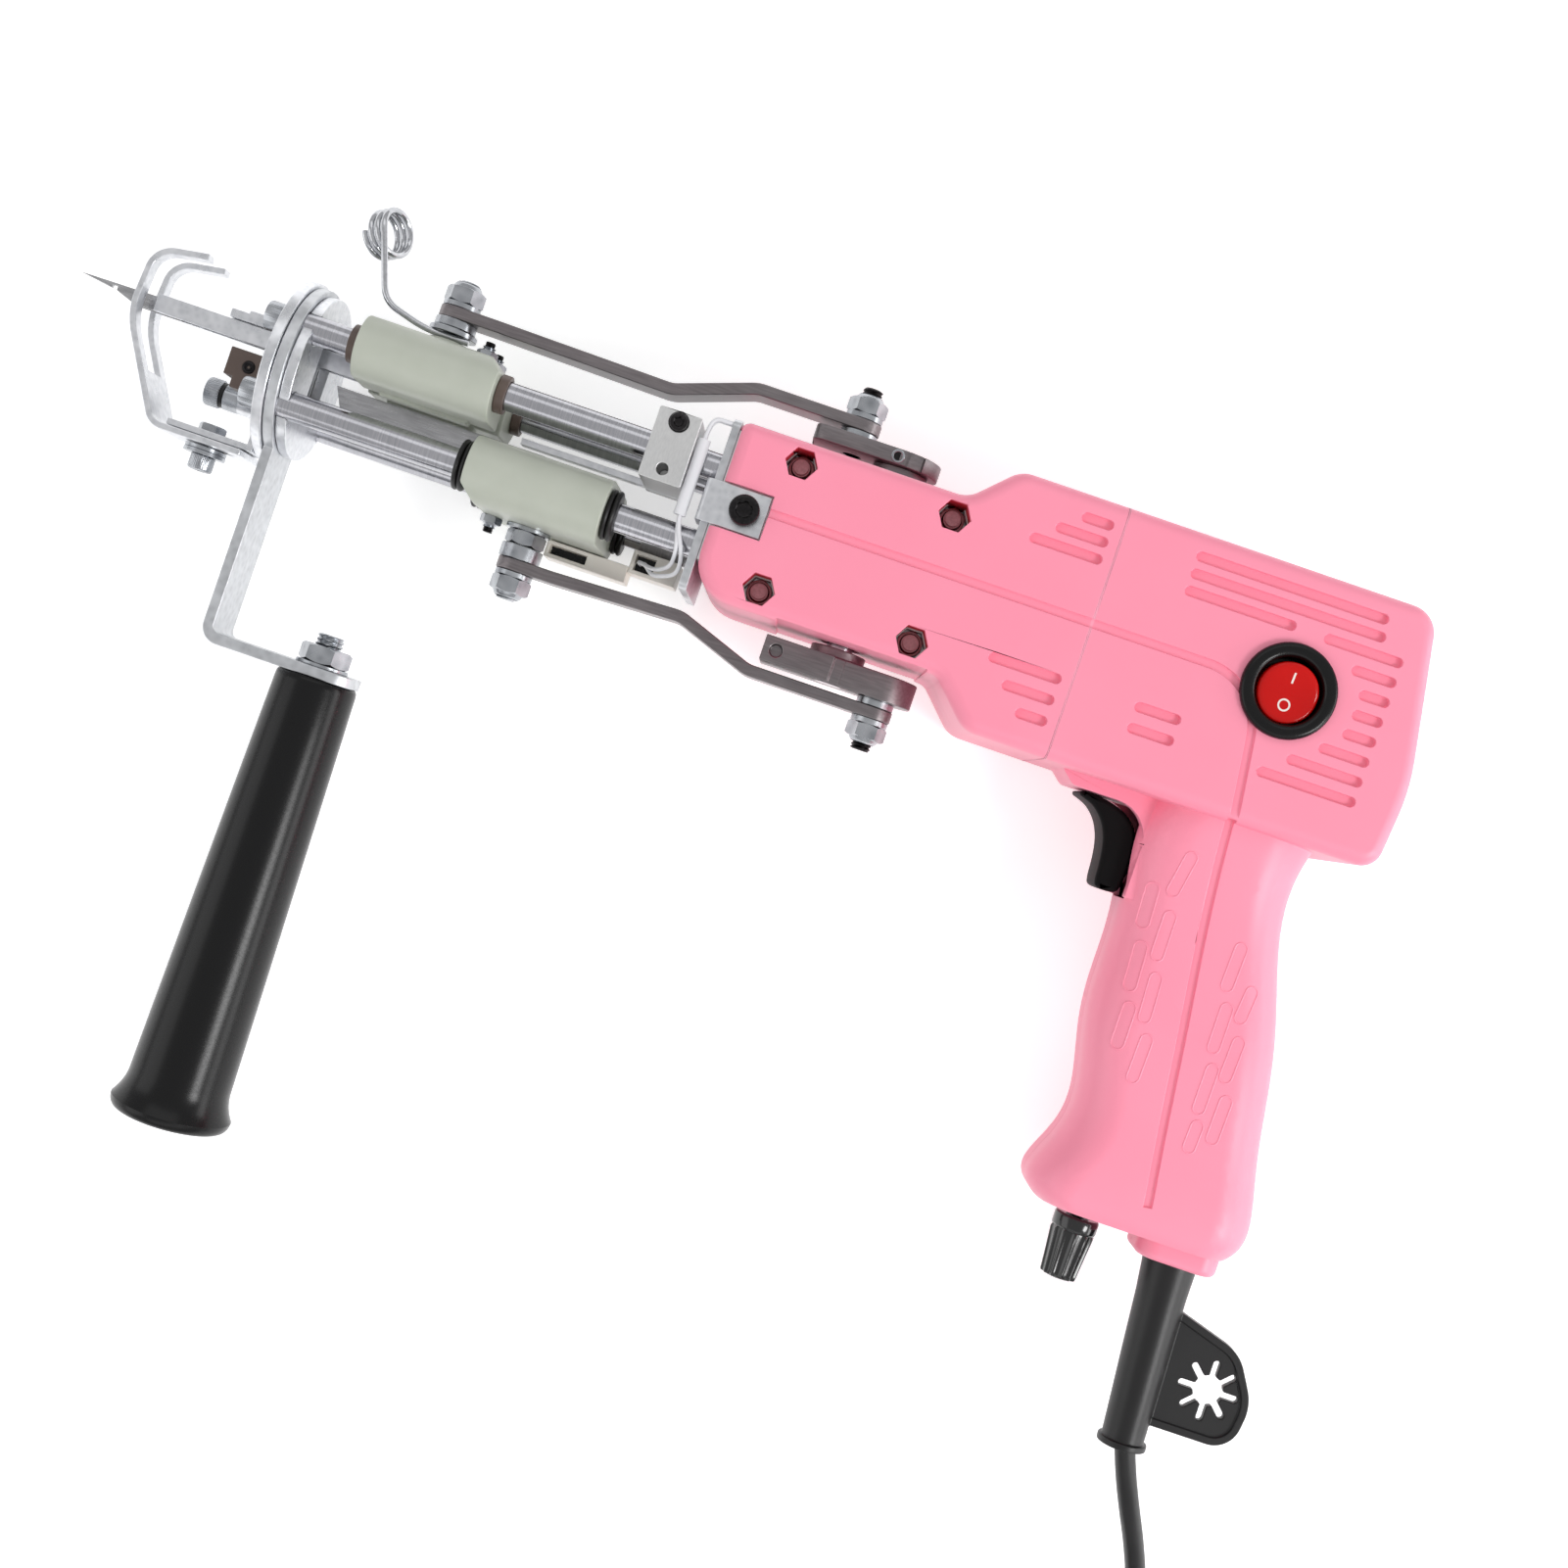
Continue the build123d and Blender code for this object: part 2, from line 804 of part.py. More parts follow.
def housing_left(half):
    """The upper half as it lies, with nut pockets, the switch and the corner bracket's recess."""
    shell = half
    foot = nut_seat + nut_height + seat_gap
    for x, y in screw_places():
        shell += hexagon("z", (x, y, foot), pocket_flats + 2 * pocket_wall, half_depth - wall / 2 - foot)
        shell -= hexagon("z", (x, y, 0), pocket_flats, half_depth + overrun)
    shell -= cylinder("z", (switch_x, switch_y, 0), switch_body_radius + fit, half_depth + overrun)
    low = bracket_y - bracket_width / 2 - bracket_gap
    high = bracket_y + bracket_width / 2 + bracket_gap
    shell -= block((head_front - overrun, low, 0), (head_front + bracket_length, high, half_depth + overrun))
    return shell


def housing_right(half):
    """The lower half as it lies: the upper half's mirror image, with bores for the screw heads."""
    shell = half
    for x, y in screw_places():
        shell -= cylinder("z", (x, y, 0), screw_head_radius + seat_gap, half_depth + overrun)
    return mirror(shell, Plane.XY)


def housing_screws():
    """Screws from the right side, one through each corner of the head."""
    length = screw_seat + nut_seat + nut_height + screw_end_beyond_nut
    return [
        socket_screw("z", (x, y, -screw_seat), screw_radius, length, screw_head_radius,
                     screw_head_height, screw_radius * 1.5, -1)
        for x, y in screw_places()
    ]


def housing_nuts():
    """Lock nuts in the pockets."""
    nuts = []
    for x, y in screw_places():
        nut = hexagon("z", (x, y, nut_seat), nut_flats, nut_height)
        nuts.append(nut - cylinder("z", (x, y, nut_seat), screw_radius + fit, nut_height))
    return nuts


# Gear head
def gearbox_frame():
    """The casting that carries the rods, the crank shaft's bearings and the motor."""
    outline = housing_outline(wall + seat_gap) & Pos((head_front + frame_rear) / 2, 0) * Rectangle(
        frame_rear - head_front, 2 * frame_half_height)
    outline = make_face(outline.faces()[0].outer_wire())
    frame = slab(outline, -frame_half_depth, frame_half_depth)
    frame += block((head_front, -nose_low, -frame_half_depth),
                   (head_front + wall + overrun + seat_gap, frame_half_height, frame_half_depth))
    liner = pocket_flats + 2 * pocket_wall + 2 * seat_gap
    for y, z in guide_places():
        frame -= cylinder("x", (head_front - overrun, y, z), guide_radius + fit, guide_seat + overrun)
    for x, y in screw_places():
        frame -= cylinder("z", (x, y, -half_depth), screw_radius + fit, 2 * half_depth)
        frame -= hexagon("z", (x, y, nut_seat), frame_pocket_flats, half_depth)
        frame -= hexagon("z", (x, y, nut_seat + nut_height), liner, half_depth)
        frame -= cylinder("z", (x, y, -screw_seat), screw_head_radius + seat_gap, -half_depth)
    room = gear_outer_radius() + gear_room
    gear_low, gear_high = gear_span()
    frame -= cylinder("y", (0, gear_low - gear_room, 0), room, gear_high - gear_low + 2 * gear_room)
    pinion_room = gear_module * (pinion_teeth / 2 + 1) + gear_room
    frame -= cylinder("x", (0, 0, 0), pinion_room, frame_rear + overrun)
    frame -= cylinder("y", (0, -half_depth, 0), shaft_radius + shaft_hole_gap, 2 * half_depth)
    for way in (1, -1):
        frame -= cylinder("y", (0, way * (bearing_out - bearing_width), 0), bearing_radius + fit, way * half_depth)
    frame -= cylinder("z", (bracket_screw_x, bracket_y, frame_half_depth + overrun),
                      bracket_screw_radius + fit, -bracket_screw_length - overrun)
    return frame


def front_plate():
    """The steel plate that closes the head, with holes for the guide rods."""
    rear = head_front - ring_gap
    corners = [
        (plate_half_depth, head_half_height, head_corner_round),
        (-plate_half_depth, head_half_height, head_corner_round),
        (-plate_half_depth, -head_half_height, head_corner_round),
        (plate_half_depth, -head_half_height, head_corner_round),
    ]
    plane = Plane(origin=(rear, 0, 0), x_dir=(0, 0, 1), z_dir=(-1, 0, 0))
    plate = extrude(plane * rounded_outline(corners), plate_thickness)
    for y, z in guide_places():
        plate -= cylinder("x", (rear + overrun, y, z), guide_radius + fit, -plate_thickness - 2 * overrun)
    return plate


def corner_bracket():
    """The small angle that ties the front plate to the head's side."""
    low = bracket_y - bracket_width / 2
    high = bracket_y + bracket_width / 2
    front = head_front - ring_gap - plate_thickness - fit
    base = frame_half_depth + fit
    flat = block((front - bracket_thickness, low, base),
                 (head_front + bracket_length - bracket_gap, high, base + bracket_thickness))
    lap = block((front - bracket_thickness, low, base - bracket_lap), (front, high, base))
    bracket = flat + lap
    bend = bracket.edges().filter_by(Axis.Y).sort_by(lambda e: e.center().Z - e.center().X)[-1]
    bracket = fillet(bend, bracket_thickness)
    return bracket - cylinder("z", (bracket_screw_x, bracket_y, 0), bracket_screw_radius + fit, half_depth)


def bracket_screw():
    """The socket screw through the corner bracket."""
    seat = frame_half_depth + fit + bracket_thickness
    return socket_screw("z", (bracket_screw_x, bracket_y, seat), bracket_screw_radius, bracket_screw_length,
                        bracket_screw_head_radius, bracket_screw_head_height, bracket_screw_key, 1)


def crank_bearings():
    """The two bearings of the crank shaft, one at each end of the frame."""
    low = bearing_out - bearing_width
    return [
        tube("y", (0, low, 0), bearing_radius, shaft_radius + fit, bearing_width),
        tube("y", (0, -low, 0), bearing_radius, shaft_radius + fit, -bearing_width),
    ]


# Gear pair: straight bevel gears whose cones meet on the crank shaft's axis
def cone_angle():
    """The angle between the pinion's axis and its pitch cone."""
    return math.atan2(pinion_teeth, gear_teeth)


def cone_length():
    """The distance from the cones' common tip to the teeth's outer ends."""
    return gear_module * gear_teeth / 2 / math.cos(cone_angle())


def gear_outer_radius():
    """How far the crank gear's teeth reach from the shaft."""
    return gear_module * (gear_teeth / 2 + tooth_addendum_share)


def gear_span():
    """The lowest and highest Y of the crank gear."""
    outer = gear_module * pinion_teeth / 2
    inner = outer * (1 - tooth_width / cone_length())
    return inner - gear_module, outer + tooth_dedendum_share * gear_module + gear_back


def bevel_gear(teeth, mate_teeth):
    """A gear on the Z axis with its cone's tip at the origin, a tooth's middle on the X axis."""
    angle = math.atan2(teeth, mate_teeth)
    outer = cone_length()
    low, low_root = tooth_face(teeth, angle, outer - tooth_width)
    high, high_root = tooth_face(teeth, angle, outer)
    back = high_root[1] + gear_back
    core = revolve(Plane.XZ * make_face(Polyline(
        (0, low_root[1]), low_root, high_root, (high_root[0], back), (0, back), close=True)), Axis.Z)
    tooth = loft([low, high], ruled=True)
    return core + [Rot(0, 0, i * 360 / teeth) * tooth for i in range(teeth)]


def tooth_face(teeth, angle, distance):
    """One end of a tooth, square to the pitch cone, and the root's radius and height there."""
    module = gear_module * distance / cone_length()
    half_pitch = math.pi / teeth * distance * math.sin(angle)

    def level(up):
        """Radius and height of a point on the tooth's middle, a way above the pitch cone."""
        return (distance * math.sin(angle) + up * math.cos(angle),
                distance * math.cos(angle) - up * math.sin(angle))

    root = level(-tooth_dedendum_share * module)
    sunk = level(-tooth_sunk_share * module)
    tip = level(tooth_addendum_share * module)
    wide = tooth_root_share * half_pitch
    narrow = tooth_tip_share * half_pitch
    corners = [(sunk, -wide), (root, -wide), (tip, -narrow), (tip, narrow), (root, wide), (sunk, wide)]
    return make_face(Polyline(*[(r, y, z) for (r, z), y in corners], close=True)), root


def crank_gear():
    """The large bevel gear on the crank shaft, its teeth towards the barrel's axis."""
    gear = Rot(-90, 0, 0) * bevel_gear(gear_teeth, pinion_teeth)
    gear = Rot(0, 180 / gear_teeth, 0) * gear
    low, high = gear_span()
    return gear - cylinder("y", (0, -half_depth, 0), shaft_radius + fit / 2, 2 * half_depth)


def motor_shaft():
    """The motor's shaft with the pinion cut on its front end."""
    pinion = Rot(0, 90, 0) * bevel_gear(pinion_teeth, gear_teeth)
    start = cone_length() * math.cos(cone_angle())
    shaft = cylinder("x", (start, 0, 0), motor_shaft_radius, motor_front + motor_length - start)
    tail = motor_rear_boss + fan_gap + fan_width
    shaft += cylinder("x", (motor_front + motor_length, 0, 0), motor_shaft_radius, tail)
    return pinion + shaft


def cooling_fan():
    """A radial fan on the motor shaft's rear end."""
    start = fan_front
    fan = cylinder("x", (start, 0, 0), fan_hub_radius, fan_width)
    fan += cylinder("x", (start, 0, 0), fan_radius, fan_blade_thickness)
    blade = block((start, fan_hub_radius - overrun, -fan_blade_thickness / 2),
                  (start + fan_width, fan_radius, fan_blade_thickness / 2))
    for i in range(fan_blades):
        fan += Rot(i * 360 / fan_blades, 0, 0) * blade
    return fan - cylinder("x", (start - overrun, 0, 0), motor_shaft_radius + fit / 2, fan_width + 2 * overrun)


def motor_can():
    """The motor's body, seated on the frame's rear face and between the housing's sides."""
    can = cylinder("x", (motor_front, 0, 0), motor_radius, motor_length)
    can = fillet(can.edges().filter_by(GeomType.CIRCLE), motor_end_round)
    can += cylinder("x", (motor_front, 0, 0), motor_boss_radius, frame_rear + fit - motor_front)
    can += cylinder("x", (motor_front + motor_length, 0, 0), motor_boss_radius, motor_rear_boss)
    length = motor_front + motor_length + motor_rear_boss - frame_rear
    return can - cylinder("x", (frame_rear - overrun, 0, 0), motor_shaft_radius + fit, length + 2 * overrun)


# Crank
def crank_shaft():
    """The cross shaft, from the blade crank to the needle crank."""
    return cylinder("y", (0, -blade_crank_low, 0), shaft_radius, blade_crank_low + needle_crank_high)


def needle_crank():
    """The crank plate above the head, its pin towards the needle at rest."""
    at = Plane(origin=(0, needle_crank_low, 0), x_dir=(1, 0, 0), z_dir=(0, 1, 0))
    outline = make_hull([*(Circle(needle_crank_hub_radius)).edges(),
                         *(Pos(-crank_radius, 0) * Circle(needle_crank_tip_radius)).edges()])
    plate = extrude(at * outline, needle_crank_high - needle_crank_low)
    boss_low = head_half_height + crank_boss_gap
    plate += cylinder("y", (0, boss_low, 0), crank_boss_radius, needle_crank_low - boss_low)
    middle = (needle_crank_low + needle_crank_high) / 2
    plate -= cylinder("z", (-needle_set_screw_x, middle, needle_crank_hub_radius + overrun),
                      set_screw_radius, -set_screw_depth - overrun)
    plate -= cylinder("y", (0, boss_low - overrun, 0), shaft_radius + fit / 2, half_depth)
    return plate - cylinder("y", (-crank_radius, 0, 0), crank_bolt_radius + fit / 2, 2 * half_depth)


def blade_crank():
    """The crank bar below the head, its pin away from the needle at rest."""
    high, low = -blade_crank_high, -blade_crank_low
    bar = block((-blade_crank_tail, low, -blade_crank_half_width), (crank_radius, high, blade_crank_half_width))
    bar += cylinder("y", (crank_radius, low, 0), blade_crank_half_width, high - low)
    boss_high = -head_half_height - crank_boss_gap
    bar += cylinder("y", (0, high, 0), crank_boss_radius, boss_high - high)
    face = blade_crank_half_width
    bar -= block((-blade_crank_band_left, low - overrun, face - blade_crank_band_depth),
                 (blade_crank_band_width - blade_crank_band_left, high + overrun, face + overrun))
    middle = (high + low) / 2
    bar -= cylinder("z", (-blade_set_screw_x, middle, face + overrun), set_screw_radius, -set_screw_depth - overrun)
    bar -= cylinder("y", (0, low - overrun, 0), shaft_radius + fit / 2, half_depth)
    return bar - cylinder("y", (crank_radius, 0, 0), crank_bolt_radius + fit / 2, -2 * half_depth)


def crank_bolts():
    """At each crank pin: the bolt, the washers either side of the rod, and the nut."""
    pieces = []
    spots = ((1, -crank_radius, needle_crank_low, needle_crank_high, needle_rod_rear_y),
             (-1, crank_radius, blade_crank_high, blade_crank_low, blade_rod_rear_y))
    for way, x, root, face, rod_y in spots:
        rod_top = rod_y + rod_thickness / 2
        washer_at = rod_top + running_gap
        nut_at = washer_at + crank_washer_height
        tip = nut_at + crank_nut_height + crank_bolt_tip
        pieces.append(cylinder("y", (x, way * root, 0), crank_bolt_radius, way * (tip - root)))
        bore = crank_bolt_radius + fit / 2
        spacer = rod_y - rod_thickness / 2 - running_gap - face
        pieces.append(tube("y", (x, way * face, 0), crank_washer_radius, bore, way * spacer))
        pieces.append(tube("y", (x, way * washer_at, 0), crank_washer_radius, bore, way * crank_washer_height))
        nut = hexagon("y", (x, way * nut_at, 0), crank_nut_flats, way * crank_nut_height)
        pieces.append(nut - cylinder("y", (x, way * nut_at, 0), bore, way * crank_nut_height))
    return pieces


# Connecting rods
def bent_rod(front_x, front_y, bends, rear_x, rear_y, bore_at_rear):
    """A flat bar bent in its side view, with a round, level end about each pin."""
    ends = rod_half_width
    way = math.copysign(1, front_y)
    path = FilletPolyline((front_x - ends, front_y), (front_x + 2 * ends, front_y - way * fit), *bends,
                          (rear_x + ends, rear_y), radius=rod_bend_round)
    bar = slab(trace(path, rod_thickness), -ends, ends)
    plan = Pos((front_x + rear_x) / 2, 0) * SlotOverall(rear_x - front_x + 2 * ends, 2 * ends)
    tall = Plane(origin=(0, -2 * half_depth, 0), x_dir=(1, 0, 0), z_dir=(0, 1, 0))
    bar = bar & extrude(tall * plan, 4 * half_depth)
    bar -= cylinder("y", (rear_x, -2 * half_depth, 0), bore_at_rear, 4 * half_depth)
    return bar - cylinder("y", (front_x, -2 * half_depth, 0), slider_pin_radius + fit / 2, 4 * half_depth)


def needle_rod():
    """The rod above the head, from the needle crank to the needle slider."""
    bends = ((needle_rod_bend_front_x, needle_rod_bend_y), (needle_rod_bend_rear_x, needle_rod_rear_y))
    return bent_rod(needle_pin_x, needle_rod_front_y, bends, -crank_radius, needle_rod_rear_y,
                    crank_bolt_radius + running_gap)


def blade_rod():
    """The rod below the head, from the blade crank to the blade slider."""
    bends = ((blade_rod_bend_front_x, -blade_rod_bend_y), (blade_rod_bend_rear_x, -blade_rod_rear_y))
    return bent_rod(blade_pin_x, -blade_rod_front_y, bends, crank_radius, -blade_rod_rear_y,
                    crank_bolt_radius + running_gap)


def rod_bolt(x, way, seat, rod_y):
    """The bolt through a rod's slider end: collar, shank, washer and nut."""
    low = rod_y - rod_thickness / 2
    high = rod_y + rod_thickness / 2
    bore = slider_pin_radius + fit / 2
    nut_at = high + crank_washer_height
    shank = cylinder("y", (x, way * seat, 0), slider_pin_radius,
                     way * (nut_at + rod_nut_height + rod_bolt_tip - seat))
    collar = tube("y", (x, way * seat, 0), rod_collar_radius, bore, way * (low - 2 * fit - seat))
    washer = tube("y", (x, way * (high + 2 * fit), 0), crank_washer_radius, bore,
                  way * (crank_washer_height - 2 * fit))
    nut = hexagon("y", (x, way * nut_at, 0), crank_nut_flats, way * rod_nut_height)
    nut -= cylinder("y", (x, way * nut_at, 0), bore, way * rod_nut_height)
    return [shank, collar, washer, nut]


def needle_rod_bolt():
    """The needle rod's bolt, its foot just above the slider's washer."""
    return rod_bolt(needle_pin_x, 1, washer_top + pin_gap, needle_rod_front_y)


def blade_rod_bolt():
    """The blade rod's bolt, its head just below the slider's hexagon."""
    return rod_bolt(blade_pin_x, -1, blade_head_low + pin_gap, blade_rod_front_y)


# Guide rods and what slides on them
def guide_places():
    """Y and Z of the four guide rods."""
    return [(y, z) for y in (guide_y, -guide_y) for z in (guide_z, -guide_z)]


def guide_rods():
    """Four ground rods from the front disc into the head."""
    start = disc_front + disc_thickness
    length = head_front + guide_seat - start
    return [cylinder("x", (start, y, z), guide_radius, length) for y, z in guide_places()]


def slider_block(front, middle, half_height):
    """A nylon block, round about each of its two rods."""
    plane = Plane(origin=(front, middle, 0), x_dir=(0, 0, 1), z_dir=(1, 0, 0))
    body = extrude(plane * SlotCenterToCenter(2 * guide_z, 2 * half_height), slider_length)
    for z in (guide_z, -guide_z):
        body -= cylinder("x", (front - overrun, middle, z), guide_radius + running_gap, slider_length + 2 * overrun)
    return body


def corner_wedge(x, y, x_way, y_way):
    """What a chamfer takes off a slider's edge: the ways point back into the slider."""
    reach = slider_chamfer + overrun
    corners = [
        (x - x_way * overrun, y - y_way * overrun),
        (x + x_way * reach, y - y_way * overrun),
        (x - x_way * overrun, y + y_way * reach),
    ]
    return slab(make_face(Polyline(*corners, close=True)), -half_depth, half_depth)


def needle_slider():
    """The upper slider, with the boss for its pin and the channel for the needle bar."""
    body = slider_block(needle_slider_front, guide_y, needle_slider_half_height)
    body -= corner_wedge(needle_slider_front + slider_length, needle_slider_top, -1, -1)
    low = guide_y - needle_slider_half_height
    body += cylinder("y", (needle_pin_x, needle_slider_top, 0), needle_boss_radius, needle_boss_height)
    body += block((keel_front, low - keel_drop, -keel_half_width), (keel_front + keel_length, low, keel_half_width))
    body -= block((needle_slider_front - overrun, low - keel_drop - overrun, -channel_half_width),
                  (needle_slider_front + slider_length + overrun, channel_high, channel_half_width))
    body -= cylinder("y", (needle_pin_x, guide_y, 0), slider_pin_radius + fit / 2, half_depth)
    for x, z in slider_screw_places():
        body -= cylinder("y", (x, guide_y, z), slider_screw_radius + fit, half_depth)
    return body


def slider_screw_places():
    """X and Z of the two small screws of the upper slider."""
    rear = needle_slider_front + slider_length - slider_chamfer
    return [(rear - 1.5 * slider_screw_head_radius, z) for z in (-keel_half_width, keel_half_width)]


def needle_slider_pin():
    """The pin's washer, its shank and the two small screws that hold the needle bar's seat."""
    low = guide_y + fit
    shank = cylinder("y", (needle_pin_x, low, 0), slider_pin_radius, washer_top - low)
    washer = tube("y", (needle_pin_x, washer_low, 0), eyelet_washer_radius, slider_pin_radius + fit / 2,
                  eyelet_washer_height)
    screws = [
        socket_screw("y", (x, needle_slider_top + fit, z), slider_screw_radius, needle_slider_half_height / 2,
                     slider_screw_head_radius, slider_screw_head_height, slider_screw_radius, 1)
        for x, z in slider_screw_places()
    ]
    return [shank, washer, *screws]


def needle_bushes():
    """Bush rings at both ends of the upper slider, on both rods."""
    front = needle_slider_front - ring_gap - needle_ring_width
    rear = needle_slider_front + slider_length + ring_gap
    return [
        tube("x", (x, guide_y, z), needle_ring_radius, guide_radius + running_gap, needle_ring_width)
        for x in (front, rear) for z in (guide_z, -guide_z)
    ]


def blade_slider():
    """The lower slider, with a slot for the blade bar and a bore for its pin."""
    body = slider_block(blade_slider_front, -guide_y, blade_slider_half_height)
    body -= corner_wedge(blade_slider_front, -blade_slider_bottom, 1, 1)
    half = blade_bar_half_thickness + fit
    body -= block((blade_slider_front - overrun, blade_bar_top - blade_bar_height - fit, -half),
                  (blade_slider_front + blade_bar_seat, half_depth, half))
    return body - cylinder("y", (blade_pin_x, -guide_y, 0), slider_pin_radius + fit / 2, -half_depth)


def blade_slider_pin():
    """The lower slider's pin: shank, washer and hexagon."""
    bore = slider_pin_radius + fit / 2
    washer = tube("y", (blade_pin_x, -blade_slider_bottom - fit, 0), blade_pin_washer_radius, bore,
                  fit - blade_pin_washer_height)
    head_at = -blade_slider_bottom - blade_pin_washer_height
    head = hexagon("y", (blade_pin_x, head_at, 0), crank_nut_flats, -blade_pin_head_height)
    shank = cylinder("y", (blade_pin_x, head_at, 0), slider_pin_radius, blade_slider_half_height)
    return [washer, head + shank]


def blade_rings():
    """Rubber rings at both ends of the lower slider, on both rods."""
    front = blade_slider_front - ring_gap - blade_ring_width
    rear = blade_slider_front + slider_length + ring_gap
    rings = []
    for x in (front, rear):
        for z in (guide_z, -guide_z):
            ring = tube("x", (x, -guide_y, z), blade_ring_radius, guide_radius + running_gap, blade_ring_width)
            rings.append(ring)
    return rings


def needle_bar():
    """A channel-section bar, open towards the grip, from the slider to the needle."""
    rear = needle_slider_front + needle_bar_seat
    high = needle_bar_low + needle_bar_height
    bar = block((needle_bar_front, needle_bar_low, -needle_bar_half_width), (rear, high, needle_bar_half_width))
    inner = needle_bar_half_width - needle_bar_wall
    return bar - block((needle_bar_front - overrun, needle_bar_low - overrun, -inner),
                       (rear + overrun, high - needle_bar_wall, inner))


def needle():
    """The pointed needle, cut slanting like a pen's nib, its shank in the bar's channel."""
    half = needle_bar_half_width - needle_bar_wall - needle_side_gap
    high = needle_bar_low + needle_bar_height - needle_bar_wall - needle_side_gap
    profile = make_face(Polyline(
        (needle_bar_front + needle_seat, needle_bar_low),
        (needle_bar_front + needle_seat, high),
        (needle_tip_x, needle_tip_y),
        (needle_heel_x, needle_heel_y),
        (needle_throat_x, needle_bar_low),
        close=True))
    body = slab(profile, -half, half)
    tip = Polyline((needle_tip_x - overrun, 0), (needle_bar_front - overrun, half + fit),
                   (needle_bar_front + needle_seat + overrun, half + fit),
                   (needle_bar_front + needle_seat + overrun, -half - fit),
                   (needle_bar_front - overrun, -half - fit), close=True)
    flat = Plane(origin=(0, 0, 0), x_dir=(1, 0, 0), z_dir=(0, 1, 0))
    body = body & extrude(flat * make_face(tip), half_depth)
    bore = needle_bar_half_width - 2 * needle_bar_wall
    return body - block((needle_throat_x - needle_seat, needle_bar_low - overrun, -bore),
                        (needle_bar_front + needle_seat + overrun, high - needle_bar_wall, bore))


def blade_bar():
    """The flat bar that the lower slider pushes through the discs, with a slanted nose."""
    low = blade_bar_top - blade_bar_height
    rear = blade_slider_front + blade_bar_seat - fit
    profile = make_face(Polyline(
        (blade_bar_front, blade_bar_top),
        (rear, blade_bar_top),
        (rear, low),
        (blade_bar_front + blade_bar_nose, low),
        close=True))
    return slab(profile, -blade_bar_half_thickness, blade_bar_half_thickness)


def half_turn(start, end, side):
    """An exact half circle between two points, bulging towards the given side."""
    a, b = Vector(*start), Vector(*end)
    return ThreePointArc(a, (a + b) * 0.5 + Vector(*side).normalized() * ((b - a).length / 2), b)


def yarn_eyelet():
    """Wire from under the slider's washer up to a coil of close turns, in one piece."""
    foot = (eyelet_foot_start, eyelet_foot_y, eyelet_foot_z)
    bend = (eyelet_foot_bend, eyelet_foot_y, eyelet_foot_z)
    heel = (eyelet_heel_x, eyelet_heel_y, eyelet_foot_z)
    middle = Vector(eyelet_x, eyelet_y, eyelet_foot_z)
    path = FilletPolyline(foot, bend, heel, middle, radius=[eyelet_foot_round, eyelet_heel_round])
    up = (middle - Vector(*heel)).normalized()
    side = Vector(up.Y, -up.X, 0)
    turn = math.radians(eyelet_tilt)
    across = side * math.cos(turn) - Vector(0, 0, math.sin(turn))
    onward = side * -math.sin(turn) - Vector(0, 0, math.cos(turn))
    edges = list(path.edges())
    place, way = middle, 1
    for i in range(round(2 * eyelet_turns)):
        goal = place + across * (way * 2 * eyelet_coil_radius) + onward * (eyelet_turn_pitch / 2)
        edges += half_turn(place, goal, up * way).edges()
        place, way = goal, -way
    wire = Wire(edges)
    profile = Plane(origin=foot, z_dir=(-1, 0, 0)) * Circle(eyelet_wire_radius)
    print("eyelet wire: least gap between turns", round(eyelet_turn_pitch - 2 * eyelet_wire_radius, 2))
    return sweep(profile, path=wire)


# Front discs and the side handle
def disc_window(front, thickness):
    """The opening in a disc for the needle bar and the blade bar."""
    return block((front - overrun, -window_low, -window_half_width),
                 (front + thickness + overrun, window_high, window_half_width))


def front_disc():
    """The front disc, with holes for the screws into the guide rods."""
    disc = cylinder("x", (disc_front, 0, 0), front_disc_radius, disc_thickness) - disc_window(disc_front, disc_thickness)
    for y, z in guide_places():
        disc -= cylinder("x", (disc_front - overrun, y, z), rod_screw_radius + fit, disc_thickness + 2 * overrun)
    return disc


def rear_disc():
    """The rear disc, which the guide rods pass through."""
    front = disc_front + disc_thickness + strap_thickness + 2 * disc_gap
    disc = cylinder("x", (front, 0, 0), rear_disc_radius, disc_thickness) - disc_window(front, disc_thickness)
    for y, z in guide_places():
        disc -= cylinder("x", (front - overrun, y, z), guide_radius + fit, disc_thickness + 2 * overrun)
    return disc


def handle_bracket():
    """A ring between the discs, with a strap down to the side handle."""
    front = disc_front + disc_thickness + disc_gap
    middle = front + strap_thickness / 2
    ring = cylinder("x", (front, 0, 0), ring_radius, strap_thickness)
    path = FilletPolyline((middle, -ring_radius / 2), (middle, -strap_leg_y), (strap_end_x, -strap_leg_y),
                          radius=strap_bend_round)
    strap = slab(trace(path, strap_thickness), -strap_half_width, strap_half_width)
    ends = strap.edges().filter_by(Axis.Y).sort_by(Axis.X)[-2:]
    bracket = ring + fillet(ends, strap_end_round)
    bracket -= disc_window(front, strap_thickness)
    for y, z in guide_places():
        bracket -= cylinder("x", (front - overrun, y, z), guide_radius + fit, strap_thickness + 2 * overrun)
    return bracket - cylinder("y", (handle_x, -strap_leg_y - strap_thickness, 0), stud_radius + fit,
                              2 * strap_thickness)


def rod_screws():
    """Cap screws into the guide rods' ends, and the one on the stop post."""
    screws = []
    for y, z in guide_places():
        reach = post_length if (y, z) == post_place() else 0
        length = disc_thickness + reach - fit
        screws.append(socket_screw("x", (disc_front - reach, y, z), rod_screw_radius, length,
                                   rod_screw_head_radius, rod_screw_head_height, rod_screw_key, -1))
    return screws


def post_place():
    """Y and Z of the stop post."""
    return -guide_y, -guide_z


